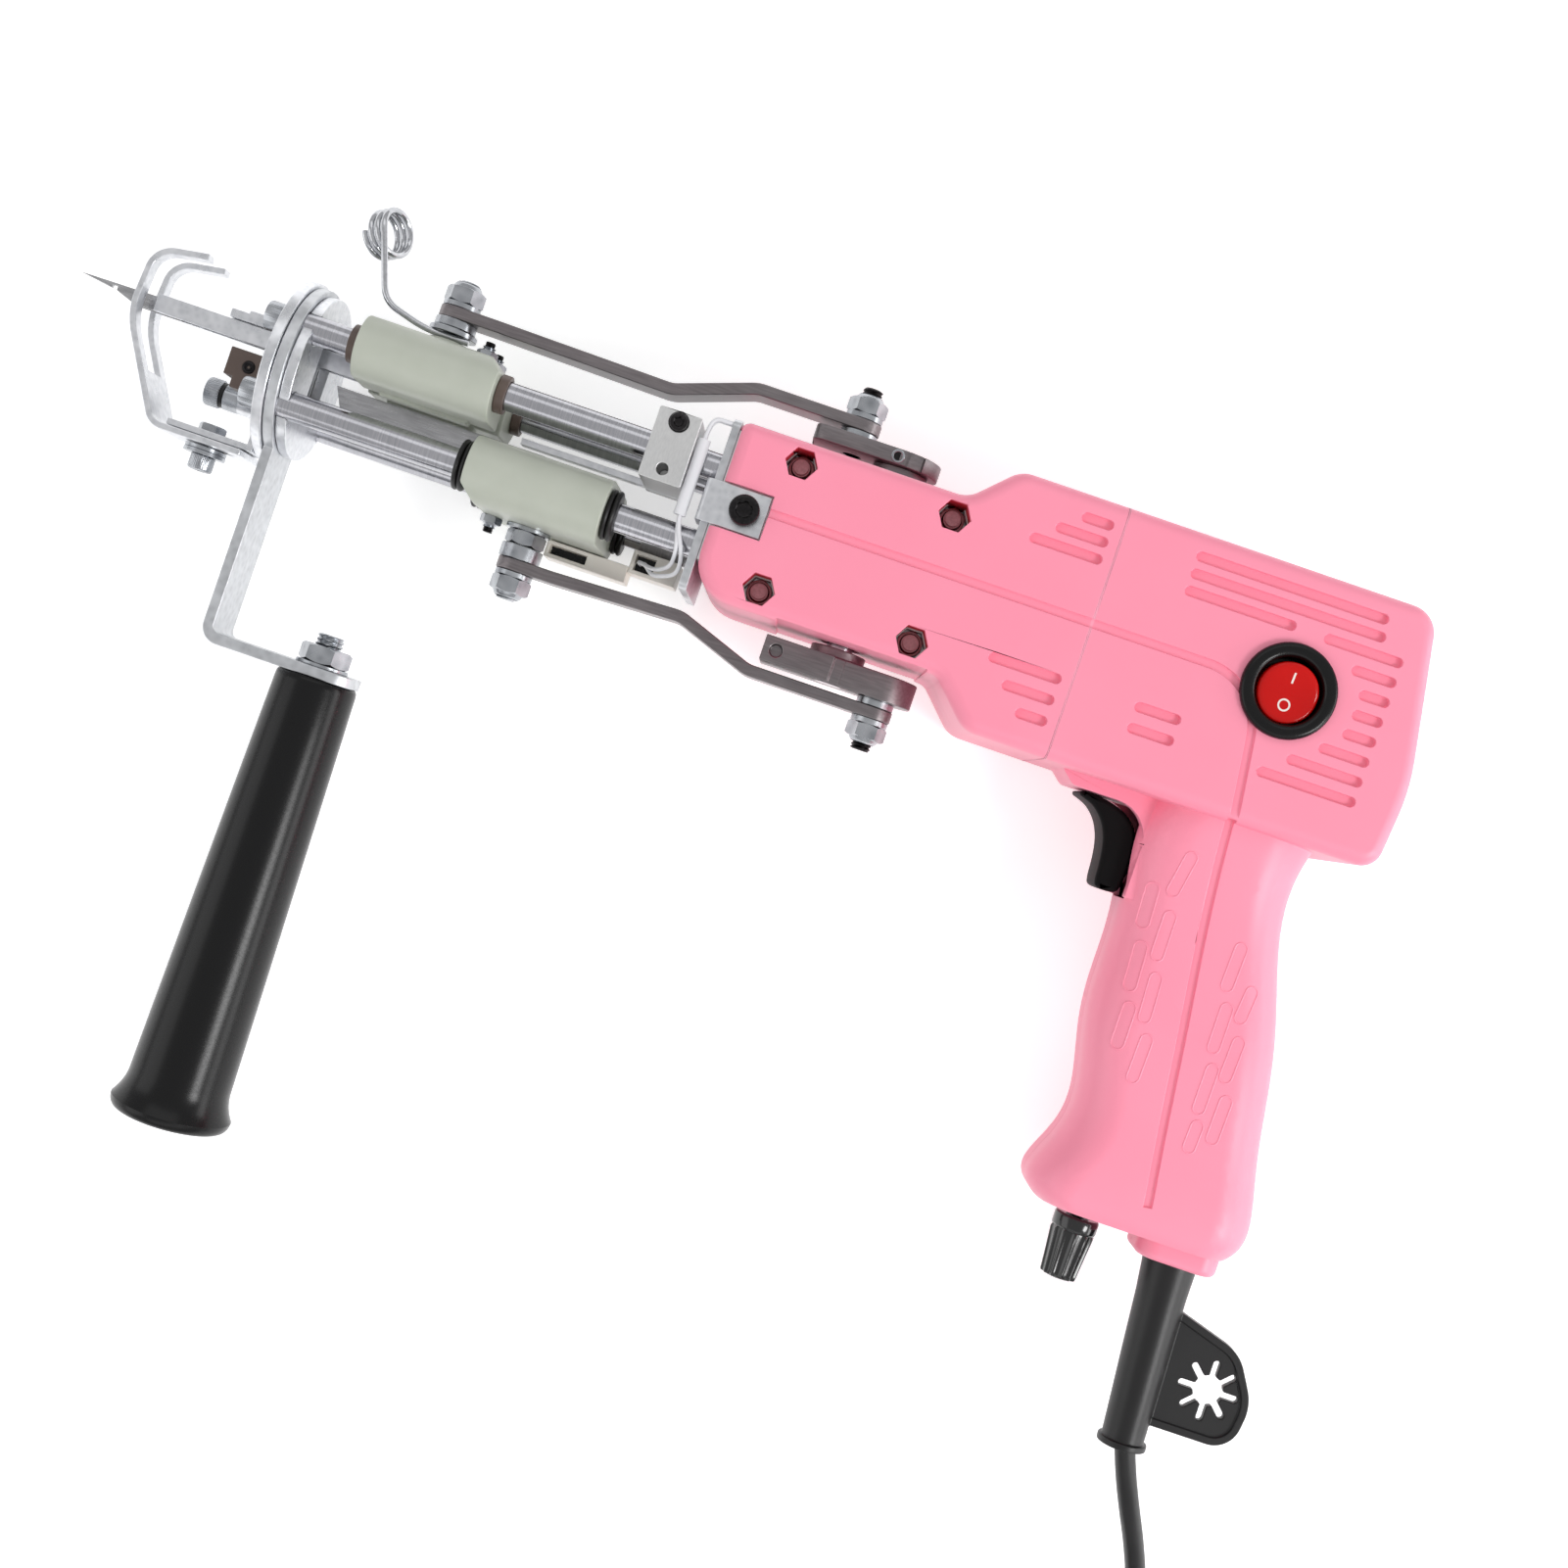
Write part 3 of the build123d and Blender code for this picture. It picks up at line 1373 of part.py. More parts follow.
def stop_post():
    """The stand-off under the screw of the lower far rod."""
    y, z = post_place()
    return tube("x", (disc_front, y, z), post_radius, rod_screw_radius + fit, -post_length)


def side_handle():
    """The tapered handle with its flared foot, on the stud."""
    flare_y = handle_length * handle_flare_y_share
    profile = make_face(FilletPolyline(
        (0, 0), (handle_top_radius, 0), (handle_low_radius, flare_y),
        (handle_flare_radius, handle_length - handle_flare_height),
        (handle_flare_radius - handle_end_round / 2, handle_length), (0, handle_length),
        radius=[0, 1, handle_neck_round, handle_end_round / 2, handle_end_round / 2, 0], close=True))
    place = Plane(origin=(handle_x, -handle_top, 0), x_dir=(1, 0, 0), z_dir=(0, 0, -1))
    grip = revolve(place * profile, Axis((handle_x, -handle_top, 0), (0, 1, 0)))
    return grip - cylinder("y", (handle_x, -handle_top + overrun, 0), stud_radius + fit, -stud_depth - overrun)


def handle_stud():
    """The stud, its nut and its washer."""
    seat = -strap_leg_y + strap_thickness / 2
    stud = cylinder("y", (handle_x, -stud_top, 0), stud_radius, stud_top - handle_top - stud_depth + seat_gap)
    washer = tube("y", (handle_x, seat + fit, 0), stud_washer_radius, stud_radius + fit, stud_washer_height)
    nut_at = seat + stud_washer_height + 2 * fit
    nut = hexagon("y", (handle_x, nut_at, 0), stud_nut_flats, stud_nut_height)
    return [stud, washer, nut - cylinder("y", (handle_x, nut_at, 0), stud_radius + fit, stud_nut_height)]


# Presser foot
def presser_foot():
    """A fork of sheet steel: a slotted plate, two prongs past the needle, their ends turned back."""
    path = FilletPolyline(
        (foot_rear_x, -foot_plate_y), (foot_heel_x, -foot_plate_y), (foot_knee_x, foot_knee_y),
        (foot_brow_x, foot_brow_y), (foot_end_x, foot_end_y),
        radius=[foot_heel_round, foot_knee_round, foot_brow_round])
    foot = slab(trace(path, foot_thickness), -foot_half_width, foot_half_width)
    foot -= block((foot_knee_x - foot_half_width, -foot_slit_start_y, -foot_gap_half_width),
                  (foot_end_x + overrun, foot_end_y + foot_half_width, foot_gap_half_width))
    radius = foot_bolt_radius + fit
    plane = Plane(origin=(foot_bolt_x + foot_travel / 2, -foot_plate_y - foot_half_width, 0),
                  x_dir=(1, 0, 0), z_dir=(0, 1, 0))
    return foot - extrude(plane * SlotCenterToCenter(foot_travel, 2 * radius), 2 * foot_half_width)


def foot_bracket_low():
    """The underside of the foot bracket's plate."""
    return -foot_plate_y + foot_thickness / 2 + seat_gap


def foot_bracket():
    """An angle from the front disc's face that carries the presser foot."""
    low = foot_bracket_low()
    rear = disc_front - fit
    plate = block((foot_bracket_front, low, -foot_bracket_half_width),
                  (rear, low + foot_bracket_thickness, foot_bracket_half_width))
    tab = block((rear - foot_bracket_thickness, low, -foot_bracket_half_width),
                (rear, -foot_bracket_tab, foot_bracket_half_width))
    return plate + tab - cylinder("y", (foot_bolt_x, low - overrun, 0), foot_bolt_radius + fit,
                                  foot_bracket_thickness + 2 * overrun)


def foot_bolt():
    """The foot's bolt with two washers below and a nut above the bracket."""
    foot_low = -foot_plate_y - foot_thickness / 2 - seat_gap
    seat = foot_low - 2 * foot_washer_height
    top = foot_bracket_low() + foot_bracket_thickness + fit
    bolt = socket_screw("y", (foot_bolt_x, seat, 0), foot_bolt_radius, top + foot_nut_height - seat,
                        foot_bolt_head_radius, foot_bolt_head_height, foot_bolt_radius * 1.5, -1)
    bore = foot_bolt_radius + fit / 2
    washers = [
        tube("y", (foot_bolt_x, seat + i * foot_washer_height + fit, 0), foot_washer_radius - i * fit, bore,
             foot_washer_height - fit)
        for i in range(2)
    ]
    nut = hexagon("y", (foot_bolt_x, top, 0), nut_flats, foot_nut_height)
    return [bolt, *washers, nut - cylinder("y", (foot_bolt_x, top, 0), bore, foot_nut_height)]


def guide_blocks():
    """On the front disc: the blade's block with its slot, and the block over the needle bar."""
    rear = disc_front - fit
    half = blade_block_half_width
    blade = block((blade_block_front, -blade_block_low, -half), (rear, blade_block_high, half))
    blade += block((blade_block_base_front, -blade_block_base_low, -half), (rear, -blade_block_low, half))
    slot = blade_bar_half_thickness + blade_slot_gap
    blade -= block((blade_block_front - overrun, blade_bar_top - blade_bar_height - blade_slot_gap, -slot),
                   (rear + overrun, blade_block_high + overrun, slot))
    half = needle_block_half_width
    low = needle_bar_low + needle_bar_height + needle_block_gap
    over = block((needle_block_front, low, -half), (needle_block_step, needle_block_step_high, half))
    over += block((needle_block_step, low, -half), (rear, needle_block_high, half))
    return [blade, over]


# Clamp block, strip, connectors, wires
def clamp_block():
    """The aluminium block on the upper near rod, with a tapped hole in its side."""
    body = block((clamp_front, clamp_low, clamp_z_low), (clamp_front + clamp_width, clamp_high, clamp_z_high))
    body = fillet(body.edges().filter_by(Axis.Z), clamp_round)
    body -= cylinder("x", (clamp_front - overrun, guide_y, guide_z), guide_radius + fit, clamp_width + 2 * overrun)
    seat = clamp_z_high - clamp_screw_head_height + clamp_screw_proud
    body -= cylinder("z", (clamp_screw_x, clamp_screw_y, seat), clamp_screw_head_radius + fit, clamp_z_high)
    body -= cylinder("z", (clamp_screw_x, clamp_screw_y, seat + overrun), clamp_screw_radius + fit,
                     -clamp_screw_length - overrun)
    body -= cylinder("z", (tapped_hole_x, tapped_hole_y, clamp_z_high + overrun), tapped_hole_radius,
                     -tapped_hole_depth - overrun)
    return body - block((clamp_front - overrun, clamp_low - overrun, -strip_half_width - fit),
                        (clamp_front + clamp_width + overrun, strip_low + strip_height + fit, strip_half_width + fit))


def clamp_screw():
    """The clamp block's pinch screw."""
    seat = clamp_z_high - clamp_screw_head_height + clamp_screw_proud + fit
    return socket_screw("z", (clamp_screw_x, clamp_screw_y, seat), clamp_screw_radius, clamp_screw_length - 2 * fit,
                        clamp_screw_head_radius, clamp_screw_head_height, clamp_screw_key, 1)


def guide_strip():
    """The thin strip that the clamp block holds under the upper slider's channel."""
    return block((strip_front, strip_low, -strip_half_width),
                 (clamp_front + clamp_width, strip_low + strip_height, strip_half_width))


def connector_shell(left, length, top, height):
    """One connector: a plastic box with an open mouth in its near side."""
    low = (left, -top - height, connector_z - connector_half_width)
    high = (left + length, -top, connector_z + connector_half_width)
    deep = (low[0] + connector_wall, low[1] + connector_wall, high[2] - connector_mouth_depth)
    mouth = (left + length / 2, high[1] - connector_wall, high[2] + overrun)
    return block(low, high) - block(deep, mouth)


def connectors():
    """The wires' connector under the lower far rod, and its mate that reaches under the lower slider."""
    return [
        connector_shell(connector_x, connector_length, connector_top, connector_height),
        connector_shell(connector_x - connector_plug_length - fit, connector_plug_length,
                        blade_slider_bottom + seat_gap, connector_plug_height),
    ]


def wire_sleeve():
    """The white sleeve over the two wires, beside the clamp block."""
    tall = sleeve_top + sleeve_bottom
    sleeve = cylinder("y", (sleeve_x, -sleeve_bottom, sleeve_z), sleeve_radius, tall)
    for z in (sleeve_z - wire_spread, sleeve_z + wire_spread):
        sleeve -= cylinder("y", (sleeve_x, -sleeve_bottom - overrun, z), wire_radius + fit, tall + 2 * overrun)
    return sleeve


def connector_wires():
    """Two wires from the front plate through the sleeve into the nearer connector."""
    wires = []
    mouth_x = connector_x + connector_length / 4
    mouth_y = -connector_top - connector_height / 2
    floor = connector_z + connector_half_width - connector_mouth_depth + fit
    plate = head_front - ring_gap - plate_thickness - fit
    for way in (-1, 1):
        aside = way * wire_spread
        points = [
            (plate, sleeve_top + 2 * wire_bend, sleeve_z + aside),
            (sleeve_x, sleeve_top + 2 * wire_bend, sleeve_z + aside),
            (sleeve_x, -sleeve_bottom - wire_bend / 2, sleeve_z + aside),
            *[(x, y, z + aside) for x, y, z in wire_route],
            (mouth_x + aside, mouth_y, floor + 3 * wire_bend),
            (mouth_x + aside, mouth_y, floor),
        ]
        path = FilletPolyline(*points, radius=run_radii([Vector(*p) for p in points]))
        profile = Plane(origin=points[0], z_dir=(-1, 0, 0)) * Circle(wire_radius)
        wires.append(sweep(profile, path=path))
    return wires


# Switch, trigger, speed control
def switch_bezel():
    """The round switch's black frame and body, with the well that the rocker tips in."""
    face = half_depth + bezel_height
    rim = cylinder("z", (switch_x, switch_y, half_depth + fit), bezel_radius, bezel_height - fit)
    rim = fillet(rim.edges().sort_by(Axis.Z)[-1], bezel_round)
    body = rim + cylinder("z", (switch_x, switch_y, half_depth - switch_body_depth), switch_body_radius,
                          switch_body_depth + fit)
    well = rocker_depth + 2 * rocker_crown
    body -= cylinder("z", (switch_x, switch_y, face - well), bezel_inner_radius, well + overrun)
    return body


def rocker():
    """The red rocker: two faces that meet at its middle, tipped to its off side."""
    face = half_depth + bezel_height
    half = rocker_tilt / 2
    rise = rocker_radius * math.tan(math.radians(half))
    button = cylinder("z", (0, 0, -rocker_depth), rocker_radius, rocker_depth + rise)
    valley = make_face(Polyline((-rocker_radius - overrun, rise + (overrun * math.tan(math.radians(half)))),
                                (0, 0), (rocker_radius + overrun, rise + (overrun * math.tan(math.radians(half)))),
                                (rocker_radius + overrun, 2 * rocker_depth), (-rocker_radius - overrun, 2 * rocker_depth),
                                close=True))
    side = Plane(origin=(-rocker_radius - overrun, 0, 0), x_dir=(0, 1, 0), z_dir=(1, 0, 0))
    button -= extrude(side * valley, 2 * rocker_radius + 2 * overrun)
    button -= rocker_underside()
    place = Pos(switch_x, switch_y, face - rocker_crown)
    axle = Pos(0, 0, -rocker_axle_drop)
    return place * axle * Rot(half, 0, 0) * Pos(0, 0, rocker_axle_drop) * button


def rocker_underside():
    """What the rocker lacks below, so that it tips inside its well."""
    slope = math.tan(math.radians(rocker_tilt))
    reach = rocker_radius + overrun
    side = Plane(origin=(-reach, 0, -rocker_depth), x_dir=(0, 1, 0), z_dir=(1, 0, 0))
    wedges = make_face(Polyline((0, 0), (reach, reach * slope), (reach, -overrun), (0, -overrun), close=True))
    return [extrude(side * wedges, 2 * reach), mirror(extrude(side * wedges, 2 * reach), Plane.XZ)]


def trigger():
    """The curved trigger: a lip under the hood and a face for the finger."""
    low = -trigger_top - trigger_height
    corners = [
        (trigger_tip_x, -trigger_top, trigger_corner_round / 2),
        (trigger_tip_x + trigger_corner_round / 2, -trigger_top - trigger_lip, trigger_corner_round / 2),
        (trigger_face_x, -trigger_top - 1.6 * trigger_lip, trigger_inner_curve),
        (trigger_face_x + trigger_corner_round / 2, low, trigger_corner_round),
        (trigger_back_x, low, trigger_corner_round),
        (trigger_back_x, -trigger_top, trigger_curve),
    ]
    return slab(rounded_outline(corners), -trigger_half_width, trigger_half_width)


def trigger_switch():
    """The switch block behind the trigger, between the grip's walls."""
    rear = trigger_switch_front + trigger_switch_length
    high = -trigger_switch_top
    body = block((trigger_switch_front, high - trigger_switch_height, -trigger_switch_half_width),
                 (rear, high, trigger_switch_half_width))
    return body + block((trigger_switch_front + wall, high - trigger_switch_height / 2 - wall, -grip_half_depth + wall + fit),
                        (rear - wall, high - trigger_switch_height / 2 + wall, grip_half_depth - wall - fit))


def control_board():
    """The speed control's board on the grip's inner wall, with its larger components."""
    base = -grip_half_depth + wall + seat_gap
    low = -board_top - board_length
    board = block((board_left, low, base), (board_left + board_width, -board_top, base + board_thickness))
    size = board_block_share * board_width
    for i in range(3):
        y = low + (i + 1) * board_length / 4
        height = board_block_height - i * board_thickness
        board += cylinder("z", (board_left + board_width / 2, y, base), size, board_thickness + height)
    return board


def speed_control():
    """The potentiometer behind the knob: body, threaded bush and nut in one."""
    floor = -grip_bottom + wall + fit
    pot = cylinder("y", (knob_x, floor, 0), pot_radius, pot_height)
    pot += cylinder("y", (knob_x, floor, 0), bush_radius, -wall - fit - bush_length)
    return pot - cylinder("y", (knob_x, floor + pot_height / 2, 0), pot_shaft_radius + fit, -half_depth)


def speed_knob():
    """The ribbed knob on its shaft."""
    top = -grip_bottom - bush_length - knob_gap
    taper = make_face(Polyline((0, 0), (knob_top_radius, 0), (knob_top_radius, knob_rim),
                               (knob_end_radius, knob_length), (0, knob_length), close=True))
    place = Plane(origin=(knob_x, top, 0), x_dir=(1, 0, 0), z_dir=(0, 0, -1))
    knob = revolve(place * taper, Axis((knob_x, top, 0), (0, 1, 0)))
    slope = math.degrees(math.atan2(knob_top_radius - knob_end_radius, knob_length - knob_rim))
    for i in range(knob_ribs):
        turn = i * 360 / knob_ribs
        flute = Pos(knob_top_radius + knob_rib_radius / 3, -knob_rim, 0) * Rot(0, 0, -slope) * cylinder(
            "y", (0, 0, 0), knob_rib_radius * 1.5, -knob_length)
        knob -= Pos(knob_x, top, 0) * Rot(0, turn, 0) * flute
    shaft = cylinder("y", (knob_x, top - knob_rim, 0), pot_shaft_radius,
                     knob_rim + knob_gap + bush_length + wall + pot_height / 3)
    return knob + shaft


# Cord boot, cord and plug
def star_hole():
    """The eight-rayed hole of the key holder."""
    star = Circle(star_radius)
    for i in range(star_rays):
        ray = Pos(star_reach / 2, 0) * SlotOverall(star_reach, star_ray_width)
        star += Rot(0, 0, i * 360 / star_rays) * ray
    return Pos(star_x, -star_y) * star


def cord_boot():
    """The rubber boot with its flap."""
    start = -boot_inside
    end = collar_height + boot_length
    rows = [
        (start, 0), (start, boot_top_radius), (collar_height, boot_top_radius),
        (collar_height + boot_waist_at, boot_waist_radius),
        (end - boot_flange_length, boot_end_radius), (end - boot_flange_length, boot_flange_radius),
        (end, boot_flange_radius), (end, 0),
    ]
    base = boot_place(0)
    profile = make_face(Polyline(*[(radius, along) for along, radius in rows], close=True))
    upright = Plane(origin=(0, 0, 0), x_dir=(1, 0, 0), z_dir=(0, -1, 0))
    boot = base.location * revolve(upright * profile, Axis.Z)
    corners = [
        (flap_top_x, -flap_top_y, 0),
        (flap_crown_x, -flap_crown_y, flap_crown_round),
        (flap_side_x, -flap_side_y, flap_side_round),
        (flap_foot_x, -flap_foot_y, flap_foot_round),
        (flap_low_x, -flap_low_y, 0),
    ]
    outline = rounded_outline(corners)
    inner = offset(outline, -flap_rim_width)
    flap = slab(outline, -flap_rim_half_thickness, flap_rim_half_thickness)
    flap -= slab(inner, flap_half_thickness, half_depth)
    flap -= slab(inner, -half_depth, -flap_half_thickness)
    flap -= slab(star_hole(), -half_depth, half_depth)
    return boot + flap


def coil_heading():
    """The way the cord's last run points, flat on the table."""
    return (Vector(*cord_route[-1]) - Vector(*cord_route[-2])).normalized()


def coil_points():
    """The coil's half turns: in along the lower layer, a climb, and out along the upper one."""
    forward = coil_heading()
    across = Vector(forward.Y, -forward.X, 0)
    ahead = forward
    steps = round(2 * coil_turns)
    diameters = [2 * coil_outer_radius - i * coil_turn_pitch for i in range(steps + 1)]
    diameters += reversed(diameters[1:-1])
    place = Vector(*cord_route[-1])
    arcs = []
    for i, diameter in enumerate(diameters):
        climb = coil_layer_pitch if i == steps else 0
        goal = place + across * diameter + Vector(0, 0, climb)
        arcs.append((place, goal, ahead))
        place = goal
        across, ahead = across * -1, ahead * -1
    return arcs, place, ahead


def cord_section():
    """A many-sided section for the cord, standing on a flat side."""
    return Rot(0, 0, 180 / cord_sides) * RegularPolygon(cord_radius, cord_sides, major_radius=False)


def run_radii(points):
    """The corner radii of a cord's route: 0.45 of the shorter run over the half turn's tangent."""
    radii = []
    for before, corner, after in zip(points, points[1:], points[2:]):
        a, b = corner - before, after - corner
        half = math.radians(a.get_angle(b)) / 2
        radii.append(0.45 * min(a.length, b.length) / math.tan(half))
    return radii


def cord():
    """The cord from the boot down to the table and on to the coil."""
    points = [Vector(*p) for p in cord_route]
    radii = run_radii(points)
    print("cord radii", [round(r, 1) for r in radii])
    path = FilletPolyline(*points, radius=radii)
    profile = Plane(origin=points[0], z_dir=points[1] - points[0]) * Circle(cord_radius)
    body = sweep(profile, path=path)
    print("cord length", round(path.length, 1), "volume share",
          round(body.volume / (math.pi * cord_radius ** 2 * path.length), 4))
    return body


def cord_coil():
    """The spare cord: one tube wound in, up a layer and out again."""
    arcs, end, ahead = coil_points()
    edges = []
    for a, b, side in arcs:
        edges += half_turn(a, b, side).edges()
    edges += Line(end, end + ahead * plug_lead).edges()
    wire = Wire(edges)
    forward = coil_heading()
    profile = Plane(origin=cord_route[-1], x_dir=(-forward.Y, forward.X, 0), z_dir=forward) * cord_section()
    body = sweep(profile, path=wire)
    print("coil length", round(wire.length, 1), "least gap",
          round(min(coil_turn_pitch, coil_layer_pitch) - 2 * cord_radius, 2))
    return body


def plug():
    """A plug with two round pins, lying where the coil's outer end leaves it."""
    arcs, end, ahead = coil_points()
    start = end + ahead * (plug_lead + fit)
    half_height = half_depth + end.Z
    place = Plane(origin=start, x_dir=(-ahead.Y, ahead.X, 0), z_dir=(ahead.X, ahead.Y, 0))
    grip = extrude(RectangleRounded(2 * plug_grip_half_width, 2 * half_height, plug_round), plug_grip_length)
    head = Pos(0, 0, plug_grip_length) * extrude(
        RectangleRounded(2 * plug_body_half_width, 2 * half_height, plug_round), plug_body_length)
    body = grip + head
    for side in (-plug_pin_spread, plug_pin_spread):
        body += Pos(side, 0, plug_grip_length + plug_body_length) * Cylinder(
            plug_pin_radius, plug_pin_length, align=(Align.CENTER, Align.CENTER, Align.MIN))
    return place.location * body


def solids_of(piece):
    """The separate solids of a piece, which may be one shape or a list of shapes."""
    found = []
    for item in piece if isinstance(piece, (list, tuple)) else [piece]:
        found += item.solids()
    return found


def main():
    """Builds each node and writes it, raised so that the machine lies on Z zero."""
    os.makedirs("parts", exist_ok=True)
    half = housing_half()
    nodes = {
        "housing_left": housing_left(half),
        "housing_right": housing_right(half),
        "housing_screws": housing_screws(),
        "housing_nuts": housing_nuts(),
        "gearbox_frame": gearbox_frame(),
        "front_plate": front_plate(),
        "corner_bracket": corner_bracket(),
        "bracket_screw": bracket_screw(),
        "motor_can": motor_can(),
        "motor_shaft": motor_shaft(),
        "cooling_fan": cooling_fan(),
        "crank_bearings": crank_bearings(),
        "crank_shaft": crank_shaft(),
        "crank_gear": crank_gear(),
        "needle_crank": needle_crank(),
        "blade_crank": blade_crank(),
        "crank_bolts": crank_bolts(),
        "needle_rod": needle_rod(),
        "needle_rod_bolt": needle_rod_bolt(),
        "blade_rod": blade_rod(),
        "blade_rod_bolt": blade_rod_bolt(),
        "guide_rods": guide_rods(),
        "needle_slider": needle_slider(),
        "needle_slider_pin": needle_slider_pin(),
        "needle_bushes": needle_bushes(),
        "needle_bar": needle_bar(),
        "needle": needle(),
        "yarn_eyelet": yarn_eyelet(),
        "blade_slider": blade_slider(),
        "blade_slider_pin": blade_slider_pin(),
        "blade_rings": blade_rings(),
        "blade_bar": blade_bar(),
        "front_disc": front_disc(),
        "rear_disc": rear_disc(),
        "handle_bracket": handle_bracket(),
        "rod_screws": rod_screws(),
        "stop_post": stop_post(),
        "side_handle": side_handle(),
        "handle_stud": handle_stud(),
        "presser_foot": presser_foot(),
        "foot_bracket": foot_bracket(),
        "foot_bolt": foot_bolt(),
        "guide_blocks": guide_blocks(),
        "clamp_block": clamp_block(),
        "clamp_screw": clamp_screw(),
        "guide_strip": guide_strip(),
        "connectors": connectors(),
        "wire_sleeve": wire_sleeve(),
        "connector_wires": connector_wires(),
        "switch_bezel": switch_bezel(),
        "rocker": rocker(),
        "trigger": trigger(),
        "trigger_switch": trigger_switch(),
        "control_board": control_board(),
        "speed_control": speed_control(),
        "speed_knob": speed_knob(),
        "cord_boot": cord_boot(),
        "cord": cord(),
        "cord_coil": cord_coil(),
        "plug": plug(),
    }
    for name, piece in nodes.items():
        raised = Pos(0, 0, half_depth) * Compound(children=solids_of(piece))
        export_step(raised, os.path.join("parts", name + ".step"))


main()
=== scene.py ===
# %% [markdown]
# # Dressing a handheld tufting machine
# A tufting machine pushes a hollow needle through cloth and draws a blade back beside it.
# The solid model holds every part in its true place, and this file gives each part its looks.
# We begin by loading that model. It is our frame: nothing in it is moved or resized here.

# %% Load the frame
import json
import math
import bmesh
import bpy
import numpy as np
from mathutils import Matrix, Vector
from mathutils.bvhtree import BVHTree

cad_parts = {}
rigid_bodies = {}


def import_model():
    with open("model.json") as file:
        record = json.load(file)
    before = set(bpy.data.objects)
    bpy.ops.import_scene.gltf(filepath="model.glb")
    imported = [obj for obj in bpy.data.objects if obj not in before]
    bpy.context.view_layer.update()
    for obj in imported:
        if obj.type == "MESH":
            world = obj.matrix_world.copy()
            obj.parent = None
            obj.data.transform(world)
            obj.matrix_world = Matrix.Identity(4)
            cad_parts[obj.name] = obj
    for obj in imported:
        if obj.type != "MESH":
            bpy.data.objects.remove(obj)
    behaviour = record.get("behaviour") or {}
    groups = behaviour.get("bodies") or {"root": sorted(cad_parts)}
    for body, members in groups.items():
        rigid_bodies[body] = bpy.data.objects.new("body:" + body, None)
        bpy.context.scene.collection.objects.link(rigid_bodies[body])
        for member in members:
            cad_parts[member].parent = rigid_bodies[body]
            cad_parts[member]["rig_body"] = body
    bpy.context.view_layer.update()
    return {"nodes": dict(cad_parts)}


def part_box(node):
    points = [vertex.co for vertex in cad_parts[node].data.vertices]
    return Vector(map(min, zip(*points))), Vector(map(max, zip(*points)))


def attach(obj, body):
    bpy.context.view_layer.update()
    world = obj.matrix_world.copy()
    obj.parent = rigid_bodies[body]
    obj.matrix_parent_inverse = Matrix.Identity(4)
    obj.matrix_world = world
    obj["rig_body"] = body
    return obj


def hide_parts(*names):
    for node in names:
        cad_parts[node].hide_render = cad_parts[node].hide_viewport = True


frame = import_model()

nodes = frame["nodes"]
print("parts in the frame:", len(nodes))

# %% [markdown]
# ## Places
# The numbers below are millimetres. X runs along the barrel, Y across it away from the grip, and
# Z counts from the plane where the two housing halves meet. That plane lies 28 mm above the table,
# so one small function turns such a place into the metres that Blender works in.

# %% Millimetres to metres
MM = 0.001
MID_PLANE = 28.0


def spot(x, y, z=0.0):
    """A place in metres: each number over a thousand, with the mid-plane's height added to Z."""
    return np.array([x, y, z + MID_PLANE]) * MM


print("mid-plane at", spot(0, 0)[2], "m")

# %% [markdown]
# ## Camera
# The photograph was taken from straight above with the machine turned by almost 19 degrees.
# A wide view from half a metre shows the sides of the discs and nuts near the picture's edges,
# as the photograph does. A focal length of 45 mm on a 36 mm sensor gives that perspective.

# %% Camera straight above
sensor_width = 36.0
focal_pixels = 2000.0
picture_pixels = 1601.0
camera_place = spot(-2.55, -65.32, 555.0)
camera_turn = math.radians(18.87)

scene = bpy.context.scene
camera = bpy.data.objects.new("camera", bpy.data.cameras.new("camera"))
scene.collection.objects.link(camera)
camera.data.lens = sensor_width * focal_pixels / picture_pixels
camera.data.sensor_width = sensor_width
camera.data.clip_start = 10 * MM
camera.data.clip_end = 20000 * MM
camera.location = camera_place
camera.rotation_euler = (0.0, 0.0, camera_turn)
scene.camera = camera
scene.view_settings.view_transform = "Standard"
print("camera", round(camera.location.z, 3), "m above the table")

# %% [markdown]
# ## Light
# Bare metal shows what is around it. Long soft boxes above and below the picture draw bright
# streaks along the round rods, and a greyer sky between them keeps the flat faces from turning
# white. The strongest light comes from the rear, where a short strip draws the streak down the
# black side handle, and a broad box at the left fills the shade on the grip. All the light
# together adds up to about one, so that a colour looks the way it is written.

# %% Sky
sky_low = (0.58, 0.58, 0.585, 1.0)
sky_high = (0.6, 0.6, 0.605, 1.0)
world = bpy.data.worlds.new("sky")
world.use_nodes = True
sky = world.node_tree
sky_place = sky.nodes.new("ShaderNodeTexCoord")
sky_split = sky.nodes.new("ShaderNodeSeparateXYZ")
sky_ramp = sky.nodes.new("ShaderNodeValToRGB")
sky_ramp.color_ramp.elements[0].position = 0.0
sky_ramp.color_ramp.elements[0].color = sky_low
sky_ramp.color_ramp.elements[1].position = 1.0
sky_ramp.color_ramp.elements[1].color = sky_high
sky.links.new(sky_place.outputs["Generated"], sky_split.inputs[0])
sky.links.new(sky_split.outputs["Z"], sky_ramp.inputs[0])
sky.links.new(sky_ramp.outputs[0], sky.nodes["Background"].inputs["Color"])
scene.world = world
print("sky from", sky_low[0], "to", sky_high[0])

# %% Soft boxes


